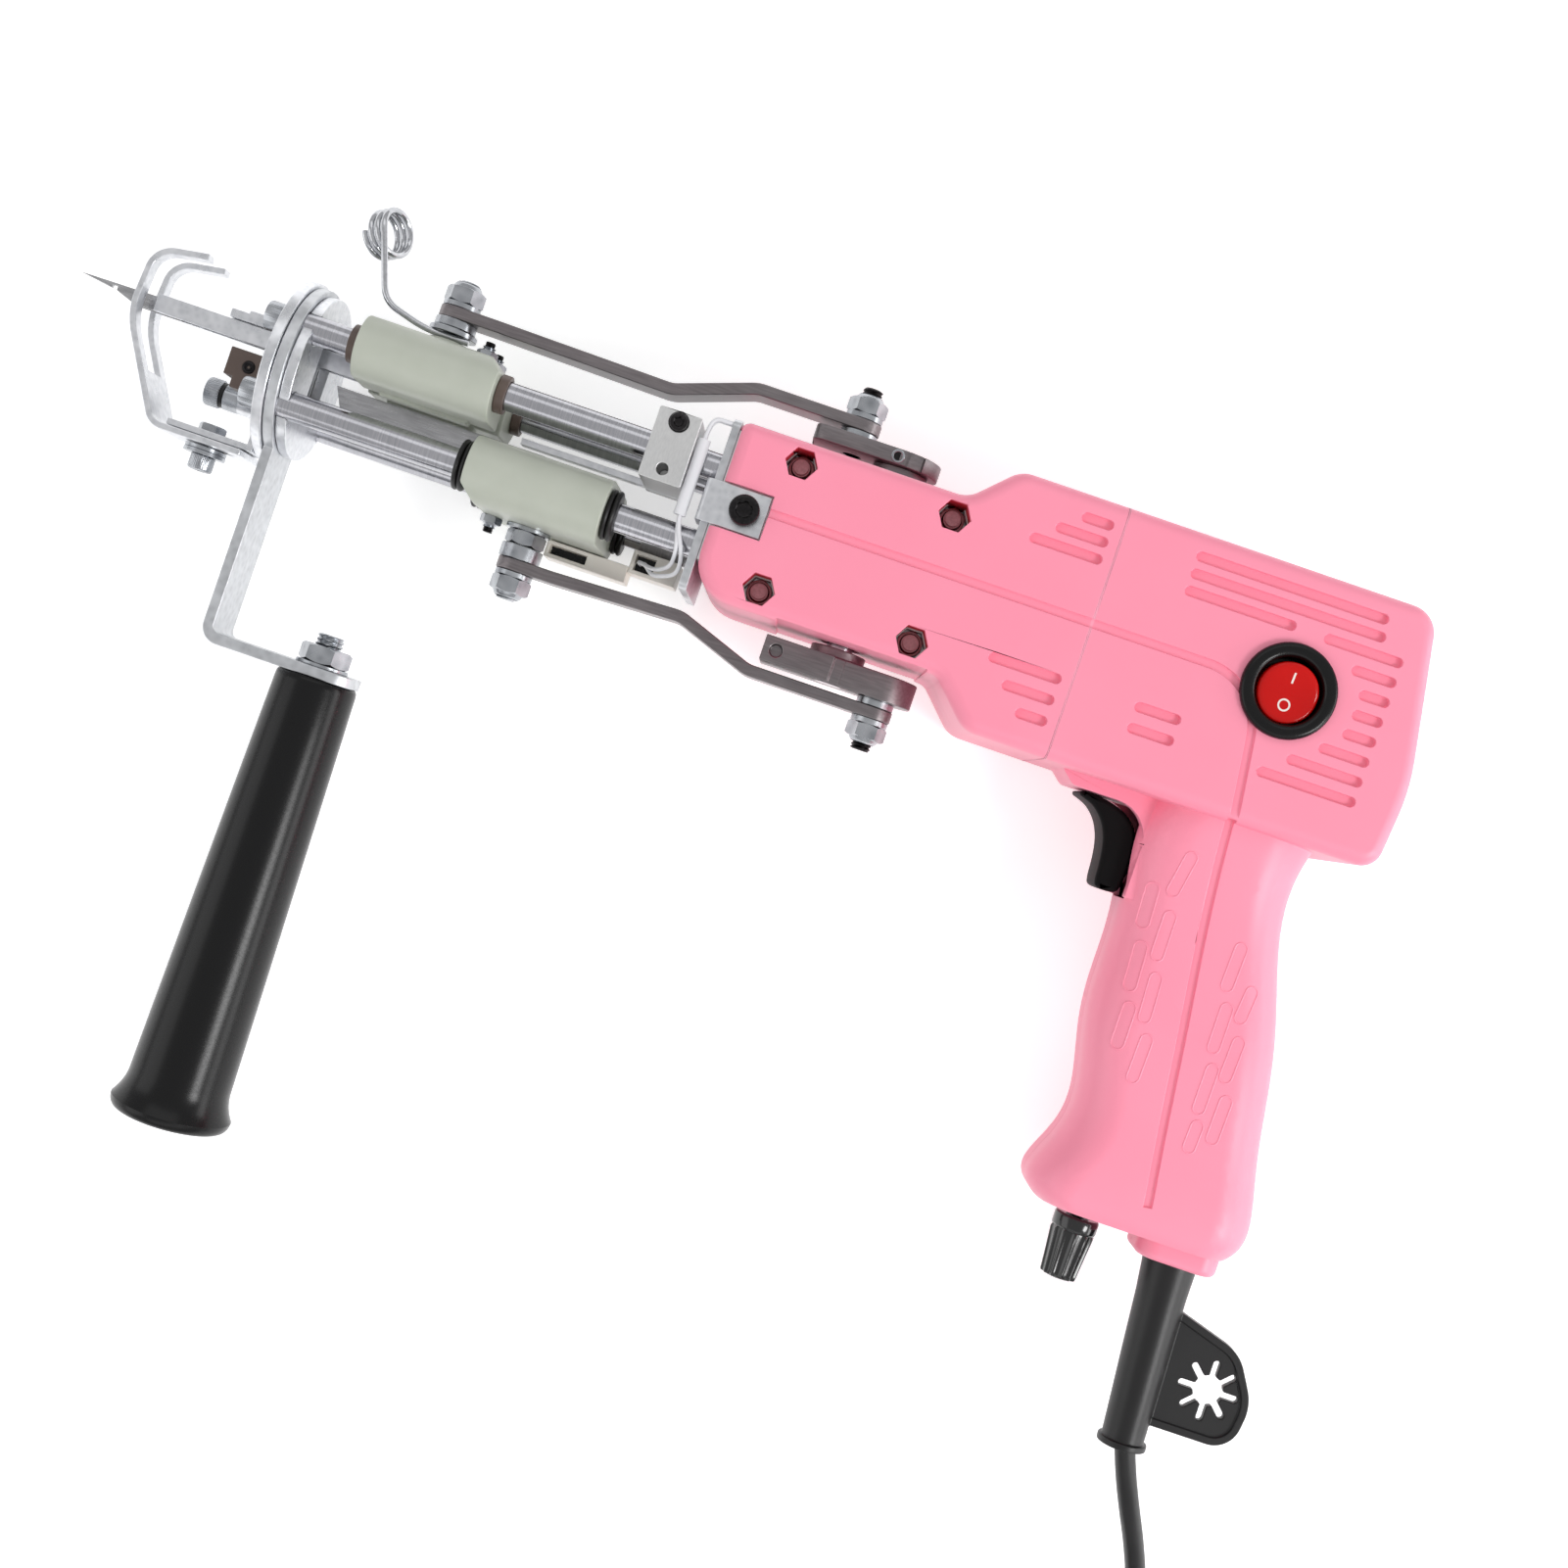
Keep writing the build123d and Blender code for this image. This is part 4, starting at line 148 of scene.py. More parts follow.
def soft_box(name, place, aim, width, depth, watts):
    """An area lamp at a place, turned so that its light runs along the line to its aim."""
    lamp = bpy.data.objects.new(name, bpy.data.lights.new(name, "AREA"))
    lamp.data.shape = "RECTANGLE"
    lamp.data.size = width
    lamp.data.size_y = depth
    lamp.data.energy = watts
    lamp.location = place
    lamp.rotation_euler = (Vector(aim) - Vector(place)).to_track_quat("-Z", "Y").to_euler()
    scene.collection.objects.link(lamp)
    return lamp


head = (0.0, -0.05, 0.0)
motor = (0.1, -0.05, 0.0)
front_of_grip = (0.0, -0.1, 0.0)
for name, place, aim, width, depth, watts in [
    ("box_above_head", (-0.15, 0.85, 1.05), head, 1.5, 0.55, 1.6),
    ("box_below_grip", (0.15, -1.05, 0.95), head, 1.5, 0.45, 1.6),
    ("strip_at_rear", (1.15, -0.39, 1.0), front_of_grip, 0.48, 0.4, 8.4),
    ("low_box_at_rear", (1.35, -0.05, 0.3), motor, 1.2, 0.4, 5.0),
    ("box_at_left", (-1.2, -0.5, 0.7), front_of_grip, 1.2, 0.9, 3.2),
]:
    soft_box(name, place, aim, width, depth, watts)

# %% [markdown]
# ## Table
# A product picture stands on white. The table is one wide plane, a hair below the machine, and
# its own pale colour makes the background. It keeps the soft shadow that grounds the machine.

# %% Table
table_reach = 4.0
below = -0.3 * MM
table_corners = [(x * table_reach, y * table_reach, below) for x, y in [(-1, -1), (1, -1), (1, 1), (-1, 1)]]
table_mesh = bpy.data.meshes.new("table")
table_mesh.from_pydata(table_corners, [], [(0, 1, 2, 3)])
table = bpy.data.objects.new("table", table_mesh)
scene.collection.objects.link(table)

# %% [markdown]
# ## Writing materials as sums
# A finish is a small calculation that runs at each point of a surface. Blender draws it as nodes
# and wires, which are slow to read. Here a signal is a wire that knows Python's plus, minus and
# times signs, so that a finish can be written on one line, such as 0.3 + 0.1 * grain.

# %% Signals


class Signal:
    """One output of a node. Sums and products of signals add Math nodes to the same finish."""

    def __init__(self, finish, socket):
        self.finish = finish
        self.socket = socket

    def sum(self, operation, first, second):
        """A Math node of the two values."""
        return self.finish.sum_of(operation, first, second)

    def __add__(self, other):
        return self.sum("ADD", self, other)

    def __radd__(self, other):
        return self.sum("ADD", other, self)

    def __sub__(self, other):
        return self.sum("SUBTRACT", self, other)

    def __rsub__(self, other):
        return self.sum("SUBTRACT", other, self)

    def __mul__(self, other):
        return self.sum("MULTIPLY", self, other)

    def __rmul__(self, other):
        return self.sum("MULTIPLY", other, self)

    def __pow__(self, other):
        return self.sum("POWER", self, other)


# %% [markdown]
# ## Finishes
# A finish holds one material. Its one method for nodes takes the node's type, its settings and
# the values of its sockets, and the few patterns that we need stand on it: noise for grain, cells
# for plated spangle, a mix of two colours and a bump. Sizes are millimetres on the real surface.

# %% Finish


def colour(red, green, blue):
    """A screen colour from 0 to 255 as light: ((c / 255 + 0.055) / 1.055) to the power 2.4."""
    light = ((np.array([red, green, blue]) / 255 + 0.055) / 1.055) ** 2.4
    return (*light.tolist(), 1.0)


class Finish:
    """One material, with a method that adds any node and the patterns made from it."""

    def __init__(self, name, base, roughness, metallic=0.0):
        self.material = bpy.data.materials.new(name)
        self.material.use_nodes = True
        self.tree = self.material.node_tree
        self.shader = self.tree.nodes["Principled BSDF"]
        self.wear({"Base Color": base, "Roughness": roughness, "Metallic": metallic})

    def node(self, kind, settings, sockets, output=0):
        """Adds a node: its settings are set first, then its sockets are given values or wires."""
        made = self.tree.nodes.new("ShaderNode" + kind)
        for name, value in settings.items():
            setattr(made, name, value)
        for name, value in sockets.items():
            self.feed(made.inputs[name], value)
        return Signal(self, made.outputs[output])

    def feed(self, socket, value):
        """Wires a signal to a socket, or sets the socket's own number or colour."""
        if isinstance(value, Signal):
            self.tree.links.new(value.socket, socket)
        else:
            socket.default_value = value

    def sum_of(self, operation, first, second):
        """A Math node of two values, either of which may be a plain number."""
        return self.node("Math", {"operation": operation}, {0: first, 1: second})

    def wear(self, sockets):
        """Gives the shader's own sockets their values."""
        for name, value in sockets.items():
            self.feed(self.shader.inputs[name], value)

    def places(self, stretch):
        """The surface's own places in metres, drawn out along an axis where its share is small."""
        at = self.node("TexCoord", {}, {}, "Object")
        return self.node("Mapping", {}, {"Vector": at, "Scale": stretch})

    def noise(self, size, detail=2.0, stretch=(1.0, 1.0, 1.0)):
        """Soft noise from 0 to 1 whose patches are about so many millimetres wide."""
        return self.node("TexNoise", {}, {"Vector": self.places(stretch), "Scale": 1000 / size,
                                          "Detail": detail})

    def cells(self, size):
        """The grey of rounded cells, about so many millimetres wide."""
        return self.node("TexVoronoi", {"feature": "SMOOTH_F1"}, {"Vector": self.places((1, 1, 1)),
                                                                  "Scale": 1000 / size})

    def between(self, signal, low, high):
        """0 below the low value, 1 above the high one, and a straight rise between them."""
        return self.node("MapRange", {}, {"Value": signal, "From Min": low, "From Max": high})

    def mix(self, share, first, second):
        """The first colour where the share is 0, and the second where it is 1."""
        return self.node("Mix", {"data_type": "RGBA"}, {0: share, 6: first, 7: second}, 2)

    def bump(self, height, depth):
        """The normal of a surface raised by the height, at most so many millimetres deep."""
        self.wear({"Normal": self.node("Bump", {}, {"Height": height, "Strength": 1.0,
                                                    "Distance": depth * MM})})


print("pink as light:", [round(c, 3) for c in colour(255, 152, 178)])

# %% [markdown]
# ## Table paint
# The table's colour is almost white, with a fine grain too faint to see as a pattern. The studio
# lit the paper from behind too. So the eye, and any metal that mirrors the table, sees a little
# light of its own in it, while the light that the table throws on the machine stays the same.

# %% Table paint
table_paint = Finish("table_paint", colour(252, 252, 252), 0.9)
no_light = (0.0, 0.0, 0.0, 1.0)
paper_light = (0.45, 0.45, 0.45, 1.0)
seen = table_paint.node("LightPath", {}, {}, "Is Camera Ray")
for ray in ("Is Glossy Ray", "Is Transmission Ray"):
    seen = seen + table_paint.node("LightPath", {}, {}, ray)
glow = table_paint.mix(seen, no_light, paper_light)
table_paint.wear({"Roughness": 0.85 + 0.1 * table_paint.noise(4.0), "Emission Color": glow,
                  "Emission Strength": 1.0})
print("table paint written")
table_mesh.materials.append(table_paint.material)

# %% [markdown]
# ## Pink housing plastic
# The housing is injection moulded ABS. Its mould was spark eroded, which leaves a very fine matt
# grain. Flow in the mould leaves the faintest clouds of tone. Both are small, because from half a
# metre the eye sees a smooth satin pink. Within 5 mm of the four screws, below the face, the pink is
# painted deep red: painted shade for the dim light between the walls of the deep nut pockets. The
# seam across the barrel is painted paler than the rest, a painted highlight along its valley.

# %% Pink plastic
seam_x = 62.0
screw_places = [(x, y) for x in (-26.0, 17.6) for y in (17.9, -17.9)]
pocket_reach = 5.25
pocket_top = 54.1

pink = Finish("pink_plastic", colour(255, 152, 178), 0.4)
clouds = pink.noise(34.0, 3.0)
grain = pink.noise(0.45, 2.0)
at = pink.node("TexCoord", {}, {}, "Object")
from_seam = pink.sum_of("ABSOLUTE", pink.node("SeparateXYZ", {}, {0: at}, "X") - seam_x * MM, 0.0)
skin = pink.mix(clouds, colour(255, 146, 171), colour(255, 155, 179))
# Painted highlight: the pink turns paler within half a millimetre of the seam.
skin = pink.mix(pink.between(from_seam, 0.5 * MM, 0.3 * MM), skin, colour(255, 168, 190))
# Painted shade: a deep red fills the nut pockets below the face, near the four screws.
nearest = 1.0
for x, y in screw_places:
    flat = pink.node("VectorMath", {"operation": "MULTIPLY"}, {0: at, 1: (1.0, 1.0, 0.0)})
    away = pink.node("VectorMath", {"operation": "DISTANCE"}, {0: flat, 1: (x * MM, y * MM, 0.0)}, "Value")
    nearest = pink.sum_of("MINIMUM", nearest, away)
height = pink.node("SeparateXYZ", {}, {0: at}, "Z")
in_reach = pink.between(nearest, (pocket_reach + 0.15) * MM, (pocket_reach - 0.15) * MM)
pocket_shade_mask = in_reach * pink.between(height, (pocket_top + 0.3) * MM, (pocket_top - 0.3) * MM)
pink.wear({"Base Color": pink.mix(pocket_shade_mask, skin, colour(214, 44, 66)), "Roughness": 0.34 + 0.1 * grain})
pink.bump(grain, 0.02)
print("pink plastic written")

# %% [markdown]
# ## Nylon sliders
# The sliders are cut from cast nylon, milky and a little green, and turned smooth by a cutter that
# leaves faint marks across the block. A share of light under the skin softens its edges.

# %% Nylon
nylon = Finish("nylon", colour(206, 208, 197), 0.38)
milk = nylon.noise(9.0, 3.0)
cuts = nylon.noise(0.5, 1.0, (1.0, 0.05, 0.05))
nylon.wear({"Base Color": nylon.mix(milk, colour(178, 183, 170), colour(192, 196, 184)),
            "Roughness": 0.3 + 0.14 * cuts})
nylon.shader.inputs["Subsurface Weight"].default_value = 0.15
nylon.shader.inputs["Subsurface Radius"].default_value = (1.0, 1.0, 0.9)
nylon.shader.inputs["Subsurface Scale"].default_value = 0.002
nylon.bump(cuts, 0.012)
print("nylon written")

# %% [markdown]
# ## Zinc plate
# The discs, the foot, the bracket and the nuts are zinc plated. Plating grows as crystals, so
# there is a spangle of cells, each a touch lighter or rougher than the next, and small pits.

# %% Zinc plate


def plated(name, dark, pale, rough, spangle, depth):
    """Zinc plate: cells of tone and roughness with fine pits, from its two tones and cell size."""
    made = Finish(name, pale, rough, 1.0)
    cell = made.cells(spangle)
    cloud = made.noise(spangle * 3, 3.0)
    pits = made.noise(spangle * 0.3, 2.0)
    tone = made.between(0.6 * cell + 0.5 * cloud, 0.25, 0.75)
    made.wear({"Base Color": made.mix(tone, dark, pale), "Roughness": rough + rough * cloud})
    made.bump(pits + cell, depth)
    return made


zinc = plated("zinc_plate", colour(212, 214, 218), colour(238, 239, 242), 0.2, 1.6, 0.01)
bolt_zinc = plated("bolt_zinc", colour(150, 153, 158), colour(192, 195, 199), 0.17, 3.0, 0.003)
plate_zinc = plated("plate_zinc", colour(190, 192, 195), colour(218, 220, 223), 0.26, 2.0, 0.008)
print("plated finishes:", zinc.material.name, bolt_zinc.material.name, plate_zinc.material.name)

# %% [markdown]
# ## Ground and rolled steel
# The guide rods are ground between centres, which leaves hair lines around them, and polished.
# The connecting rods and crank arms are rolled bar, darker and brown, with scratches along them.
# Both are the same recipe: noise drawn out in one direction, with its own tone and depth.

# %% Steels


def drawn(name, dark, pale, rough, stretch, size, depth):
    """Metal with hair lines: noise drawn out by its stretch moves the tone, gloss and surface."""
    made = Finish(name, pale, rough, 1.0)
    hair = made.noise(size, 4.0, stretch)
    cloud = made.noise(14.0, 2.0)
    tone = made.between(0.7 * hair + 0.4 * cloud, 0.3, 0.8)
    made.wear({"Base Color": made.mix(tone, dark, pale), "Roughness": rough + 0.12 * hair})
    made.bump(hair, depth)
    return made


round_the_rod = (1.0, 0.04, 0.04)
along_the_bar = (0.08, 1.0, 1.0)
along_the_blade = (0.1, 1.0, 1.0)
across_the_block = (1.0, 0.3, 1.0)
along_the_wire = (1.0, 1.0, 0.2)
every_way = (1.0, 1.0, 1.0)
ground, rolled, pocket_shade_steel, spring, blade, cast, black_screw = [
    drawn(name, colour(*dark), colour(*pale), rough, stretch, size, depth)
    for name, dark, pale, rough, stretch, size, depth in [
        ("ground_steel", (168, 168, 173), (198, 198, 203), 0.12, round_the_rod, 0.4, 0.002),
        ("rolled_steel", (116, 110, 112), (146, 140, 141), 0.3, along_the_bar, 0.6, 0.008),
        # Steel in the nut pockets, painted red and dark: painted shade and a painted reflection of the pink
        # walls.
        ("steel_painted_pocket_shade", (150, 98, 103), (192, 132, 138), 0.3, every_way, 0.8, 0.004),
        ("spring_wire", (176, 178, 182), (208, 209, 212), 0.06, along_the_wire, 0.8, 0.001),
        ("blade_steel", (150, 150, 152), (196, 196, 198), 0.2, along_the_blade, 0.7, 0.008),
        ("cast_aluminium", (212, 212, 212), (230, 230, 229), 0.36, across_the_block, 0.5, 0.012),
        ("black_screw_steel", (34, 33, 34), (58, 56, 57), 0.28, every_way, 0.8, 0.01),
    ]]
hair_lined = (ground, rolled, pocket_shade_steel, spring, blade, cast, black_screw)
print("drawn finishes:", [finish.material.name for finish in hair_lined])

# %% [markdown]
# ## Black, red and pale plastics and rubber
# Small mouldings differ in tone, gloss and grain only. The side handle is polished by hands, the
# boot is matt rubber, the trigger is duller still, and the switch's red lens is clear over its
# colour, so it gets a coat.

# %% Small mouldings


def moulded(name, base, tint, rough, grain_size, depth, coat=0.0, mirror=0.5):
    """Plastic or rubber: clouds between two tones, and a grain that moves gloss and surface. Mirror
    is how strongly the surface reflects straight on: 0.5 for hard plastic, less for a dull one."""
    made = Finish(name, base, rough)
    grain_here = made.noise(grain_size, 3.0)
    made.wear({"Base Color": made.mix(made.noise(12.0, 2.0), base, tint), "Specular IOR Level": mirror,
               "Roughness": rough + 0.12 * grain_here, "Coat Weight": coat})
    made.bump(grain_here, depth)
    return made


black = moulded("black_plastic", colour(4, 4, 5), colour(7, 7, 8), 0.2, 0.7, 0.004, 0.0, 0.3)
gloss_black = moulded("knob_plastic", colour(7, 7, 8), colour(12, 12, 13), 0.12, 1.5, 0.003, 0.5, 0.5)
rubber = moulded("black_rubber", colour(12, 11, 12), colour(19, 18, 19), 0.34, 0.5, 0.01, 0.0, 0.45)
red = moulded("red_lens", colour(188, 6, 3), colour(204, 12, 6), 0.12, 3.0, 0.002, 0.15, 0.2)
ivory = moulded("ivory_plastic", colour(254, 247, 236), colour(255, 251, 243), 0.38, 0.5, 0.01)
white_wire = moulded("wire_white", colour(226, 226, 232), colour(238, 238, 240), 0.3, 0.8, 0.006)
brown = moulded("bush_plastic", colour(84, 70, 64), colour(104, 88, 80), 0.34, 0.6, 0.01)
satin_black = moulded("trigger_plastic", colour(7, 6, 7), colour(11, 10, 11), 0.5, 0.5, 0.008, 0.0, 0.12)
green = moulded("board_green", colour(20, 84, 48), colour(28, 100, 58), 0.3, 1.0, 0.01)
mark = moulded("switch_mark", colour(236, 224, 216), colour(242, 232, 226), 0.4, 0.5, 0.002)
print("moulded finishes: 10")

# %% [markdown]
# ## Softened copies of the solid parts
# A solid model has knife edges, which no real part has: plating, tumbling or a mould's cutter
# rolls every edge over, and that thin bright line is how the eye reads an edge. So most parts are
# shown by a copy of their solid. Its loose triangles are merged, flat faces are joined, and a
# Bevel rolls the edges over. The copy rides with the same body and stands for its node.

# %% Standing for a node


def stand_for(piece, node):
    """The piece rides with the node's body and is shown in its place, where the node is hidden."""
    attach(piece, nodes[node]["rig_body"])
    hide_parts(node)
    return piece


# %% Softened copies
flat_within = math.radians(0.1)
edge_angle = math.radians(32)


def softened(node, width, finish, second=None, where=None, mend=None, near=0.001):
    """A merged copy of a node whose edges sharper than 32 degrees are rolled over by the width.
    Faces whose middle, in millimetres from the mid-plane, passes the test get the second finish."""
    work = bmesh.new()
    work.from_mesh(nodes[node].data)
    bmesh.ops.remove_doubles(work, verts=work.verts, dist=near * MM)
    bmesh.ops.dissolve_limit(work, angle_limit=flat_within, verts=work.verts, edges=work.edges)
    if mend:
        mend(work)
    mesh = bpy.data.meshes.new(node + "_soft")
    work.to_mesh(mesh)
    work.free()
    for name in [a.name for a in mesh.attributes if a.name.startswith("custom_normal")]:
        mesh.attributes.remove(mesh.attributes[name])
    mesh.materials.clear()
    mesh.materials.append(finish.material)
    if second:
        mesh.materials.append(second.material)
        for face in mesh.polygons:
            middle = Vector(face.center) / MM - Vector((0.0, 0.0, MID_PLANE))
            face.material_index = int(where(middle, face.normal))
    mesh.polygons.foreach_set("use_smooth", np.ones(len(mesh.polygons), bool))
    piece = bpy.data.objects.new(node + "_soft", mesh)
    scene.collection.objects.link(piece)
    roll = piece.modifiers.new("rolled edges", "BEVEL")
    roll.width = width * MM
    roll.segments = 2
    roll.limit_method = "ANGLE"
    roll.angle_limit = edge_angle
    roll.use_clamp_overlap = False
    even = piece.modifiers.new("even shading", "WEIGHTED_NORMAL")
    even.keep_sharp = True
    return stand_for(piece, node)


print("edges sharper than", round(math.degrees(edge_angle)), "degrees get rolled over")

# %% [markdown]
# ## Housing and sliders
# The two halves meet in a plain joint, and across the barrel runs a seam where the mould changes.
# The solid model cuts that seam as a square channel, which is too deep and dark beside the real
# one. So before its edges are rolled over, the channel's floor is lifted into a faint valley.

# %% Housing and sliders
seam_half = 0.3
seam_depth_share = 0.3
seam_lean = 0.2


def off_seam(v):
    """How far a point lies from the seam's middle plane, in millimetres along the barrel."""
    return abs(v.co.x / MM - seam_x)


def soft_seam(work):
    """Turns the seam's square channel into a faint valley: each floor point rises to a share of its
    depth below the nearest rim point, and moves a little towards the seam's middle."""
    inside = [v for v in work.verts if off_seam(v) < seam_half]
    rims = [v for v in inside if any(off_seam(e.other_vert(v)) > seam_half for e in v.link_edges)]
    goals = []
    for v in set(inside) - set(rims):
        level = [r for r in rims if abs(r.co.x - v.co.x) < 0.01 * MM]
        rim = min(level, key=lambda r: (r.co - v.co).length)
        way = 1 if v.co.x < seam_x * MM else -1
        goals.append((v, rim.co.lerp(v.co, seam_depth_share) + Vector((way * seam_lean * MM, 0, 0))))
    for v, goal in goals:
        v.co = goal
    print("seam points moved:", len(goals))


softened("housing_left", 0.22, pink, mend=soft_seam, near=0.02)
softened("housing_right", 0.22, pink, mend=soft_seam, near=0.02)
softened("needle_slider", 0.4, nylon)
softened("blade_slider", 0.4, nylon)
softened("clamp_block", 0.35, cast)
print("softened: housing, sliders, clamp block")

# %% [markdown]
# ## Sheet and bar parts
# Plates, discs, the foot and the rods are steel cut and bent. Their rolled edges are finer. The
# guide blocks are two: the needle's guide is plated, and the blade's block is brown.

# %% Sheet and bar parts
for node, width, finish, slot_name in [
    ("front_plate", 0.25, plate_zinc, "plate_steel"),
    ("corner_bracket", 0.2, zinc, "zinc_steel"),
    ("front_disc", 0.35, zinc, "zinc_steel"),
    ("rear_disc", 0.35, zinc, "zinc_steel"),
    ("handle_bracket", 0.35, plate_zinc, "zinc_steel"),
    ("presser_foot", 0.3, zinc, "zinc_steel"),
    ("foot_bracket", 0.25, zinc, "zinc_steel"),
    ("stop_post", 0.2, zinc, "zinc_steel"),
    ("needle_bar", 0.15, zinc, "zinc_steel"),
    ("needle", 0.12, blade, "blade_steel"),
    ("blade_bar", 0.15, blade, "blade_steel"),
    ("guide_strip", 0.12, zinc, "zinc_steel"),
    ("guide_rods", 0.3, ground, "bright_steel"),
    ("needle_rod", 0.35, rolled, "rod_steel"),
    ("blade_rod", 0.35, rolled, "rod_steel"),
    ("blade_crank", 0.35, rolled, "rod_steel"),
    ("cord_boot", 0.35, rubber, "black_rubber"),
    ("speed_control", 0.2, bolt_zinc, "zinc_steel"),
    ("needle_bushes", 0.3, brown, "bush_plastic"),
]:
    softened(node, width, finish)
needle_guide_from_y = 5.0
softened("guide_blocks", 0.3, brown, zinc, lambda at, normal: at.y > needle_guide_from_y)
print("softened sheet and bar parts: 20")

# %% [markdown]
# ## Parts kept as they are
# What lies inside the housing, or is plain round stock, keeps its solid and gets a finish only.

# %% Parts kept as they are
for node, finish in [
    ("gearbox_frame", cast), ("motor_can", plate_zinc), ("motor_shaft", ground), ("cooling_fan", black),
    ("crank_bearings", ground), ("crank_shaft", ground), ("crank_gear", rolled), ("trigger_switch", black),
    # The housing screws get the steel with the painted red shade of the nut pockets.
    ("control_board", green), ("housing_screws", pocket_shade_steel),
]:
    nodes[node].data.materials.clear()
    nodes[node].data.materials.append(finish.material)
print("plain parts: 10")

# %% [markdown]
# ## Surfaces from formulas
# A new piece is a grid of points: rows along its profile and columns around it. With numpy the
# whole grid is worked out at once. One function turns grids into a mesh, merges the points that
# meet in a pole or a seam, and faces the surface outward.

# %% Grids into meshes
merge_within = 0.001 * MM
sliver_within = 0.0001 * MM


def grid_faces(rows, columns, ring, start):
    """Four-cornered faces between neighbouring rows and columns. A ring's last row joins its first."""
    numbers = np.arange(rows * columns).reshape(rows, columns) + start
    numbers = np.concatenate([numbers, numbers[:, :1]], axis=1)
    if ring:
        numbers = np.concatenate([numbers, numbers[:1]], axis=0)
    corners = [numbers[:-1, :-1], numbers[:-1, 1:], numbers[1:, 1:], numbers[1:, :-1]]
    return np.stack(corners, axis=-1).reshape(-1, 4)


def built(name, grids, finish, sharp=35.0):
    """One object from (grid, ring) pairs, where a grid holds points as rows by columns by three. A
    third entry of a pair is the finish of that grid alone."""
    points, faces, slots = [], [], []
    finishes = [finish]
    start = 0
    for grid, ring, *own in grids:
        rows, columns = grid.shape[:2]
        points.append(grid.reshape(-1, 3))
        faces.append(grid_faces(rows, columns, ring, start))
        finishes += [f for f in own if f not in finishes]
        slots += [finishes.index(own[0]) if own else 0] * len(faces[-1])
        start += rows * columns
    mesh = bpy.data.meshes.new(name)
    mesh.from_pydata(np.concatenate(points).tolist(), [], np.concatenate(faces).tolist())
    mesh.polygons.foreach_set("material_index", slots)
    work = bmesh.new()
    work.from_mesh(mesh)
    bmesh.ops.remove_doubles(work, verts=work.verts, dist=merge_within)
    bmesh.ops.dissolve_degenerate(work, edges=work.edges, dist=sliver_within)
    bmesh.ops.recalc_face_normals(work, faces=work.faces)
    work.to_mesh(mesh)
    work.free()
    mesh.polygons.foreach_set("use_smooth", np.ones(len(mesh.polygons), bool))
    mesh.set_sharp_from_angle(angle=math.radians(sharp))
    for each in finishes:
        mesh.materials.append(each.material)
    piece = bpy.data.objects.new(name, mesh)
    scene.collection.objects.link(piece)
    return piece


print("grids become meshes whose points merge within", merge_within / MM, "mm")

# %% [markdown]
# Most of the machine's small parts are round. A lathe makes them by moving a tool along a profile,
# and so does this function: each row of the profile is a distance along the axis and a radius.

# %% Turned surfaces


def turned(profile, start, along, sides=64, reach_of=None):
    """A turned surface: start + along * d + r * (cos t * u + sin t * v) for each row (d, r) of the
    profile, with u and v square to along. reach_of(d, t) may add to the radius at each point."""
    along = np.array(along, float) / np.linalg.norm(along)
    aside = np.array([0.0, 0.0, 1.0]) if abs(along[2]) < 0.9 else np.array([1.0, 0.0, 0.0])
    u = np.cross(aside, along)
    u /= np.linalg.norm(u)
    v = np.cross(along, u)
    d, r = np.array(profile, float).T
    t = np.linspace(0, 2 * np.pi, sides, endpoint=False)
    d, t = np.meshgrid(d, t, indexing="ij")
    r = np.repeat(r[:, None], sides, axis=1)
    if reach_of is not None:
        r = reach_of(d, t, r)
    ring = np.cos(t)[..., None] * u + np.sin(t)[..., None] * v
    return np.array(start) + (along * d[..., None] + ring * r[..., None]) * MM


def arc(centre, radii, start, end, count):
    """Points from one angle to another, in degrees: centre + (r1 cos a, r2 sin a)."""
    a = np.radians(np.linspace(start, end, count))
    return np.array(centre) + np.stack([np.cos(a), np.sin(a)], axis=1) * radii


def hexagon_reach(t, flats):
    """How far a hexagon reaches at an angle: half its flats over the cosine from the flat's middle."""
    return flats / 2 / np.cos((t % (np.pi / 3)) - np.pi / 6)


print("a hexagon of 10 mm reaches", round(float(hexagon_reach(0.0, 10.0)), 2), "mm at its corner")

# %% [markdown]
# ## Side handle
# The handle is a tapered tube of black plastic with a trumpet foot that stops the hand. It is
# turned from a profile: a straight taper, a hollow curve into the foot, and rounded rims.

# %% Side handle
handle_length = 131.6
handle_x = -137.2
handle_y = -79.85
top_radius = 11.65
foot_radius = 14.4
flare = 2.7
foot_from = handle_length * 0.905
taper_from = 2.0
lip_height = 3.6
lip_radii = (3.2, 2.1)
dish_radius = 11.8
dish_depth = 1.6

run = np.linspace(0.0, 1.0, 9)
taper = np.stack([taper_from + run * (foot_from - taper_from),
                  top_radius + run * (foot_radius - top_radius)], axis=1)
foot_run = np.linspace(0.1, 1.0, 10)
trumpet = np.stack([foot_from + foot_run * (handle_length - foot_from - lip_height),
                    foot_radius + flare * foot_run ** 2.2], axis=1)
lip_centre = (handle_length - lip_height, foot_radius + flare - lip_radii[1])
lip = arc(lip_centre, lip_radii, 75, 0, 6)
head = [[0, 0], [0, top_radius - 0.75], [0.35, top_radius - 0.35], [1.0, top_radius - 0.1]]
dish = [[handle_length - 0.4, dish_radius + 0.8], [handle_length - dish_depth, dish_radius],
        [handle_length - dish_depth, 0]]
handle_profile = np.concatenate([head, taper, trumpet, lip, dish])
handle_grid = turned(handle_profile, spot(handle_x, handle_y), (0, -1, 0), 96)
handle = built("side_handle_turned", [(handle_grid, False)], black)
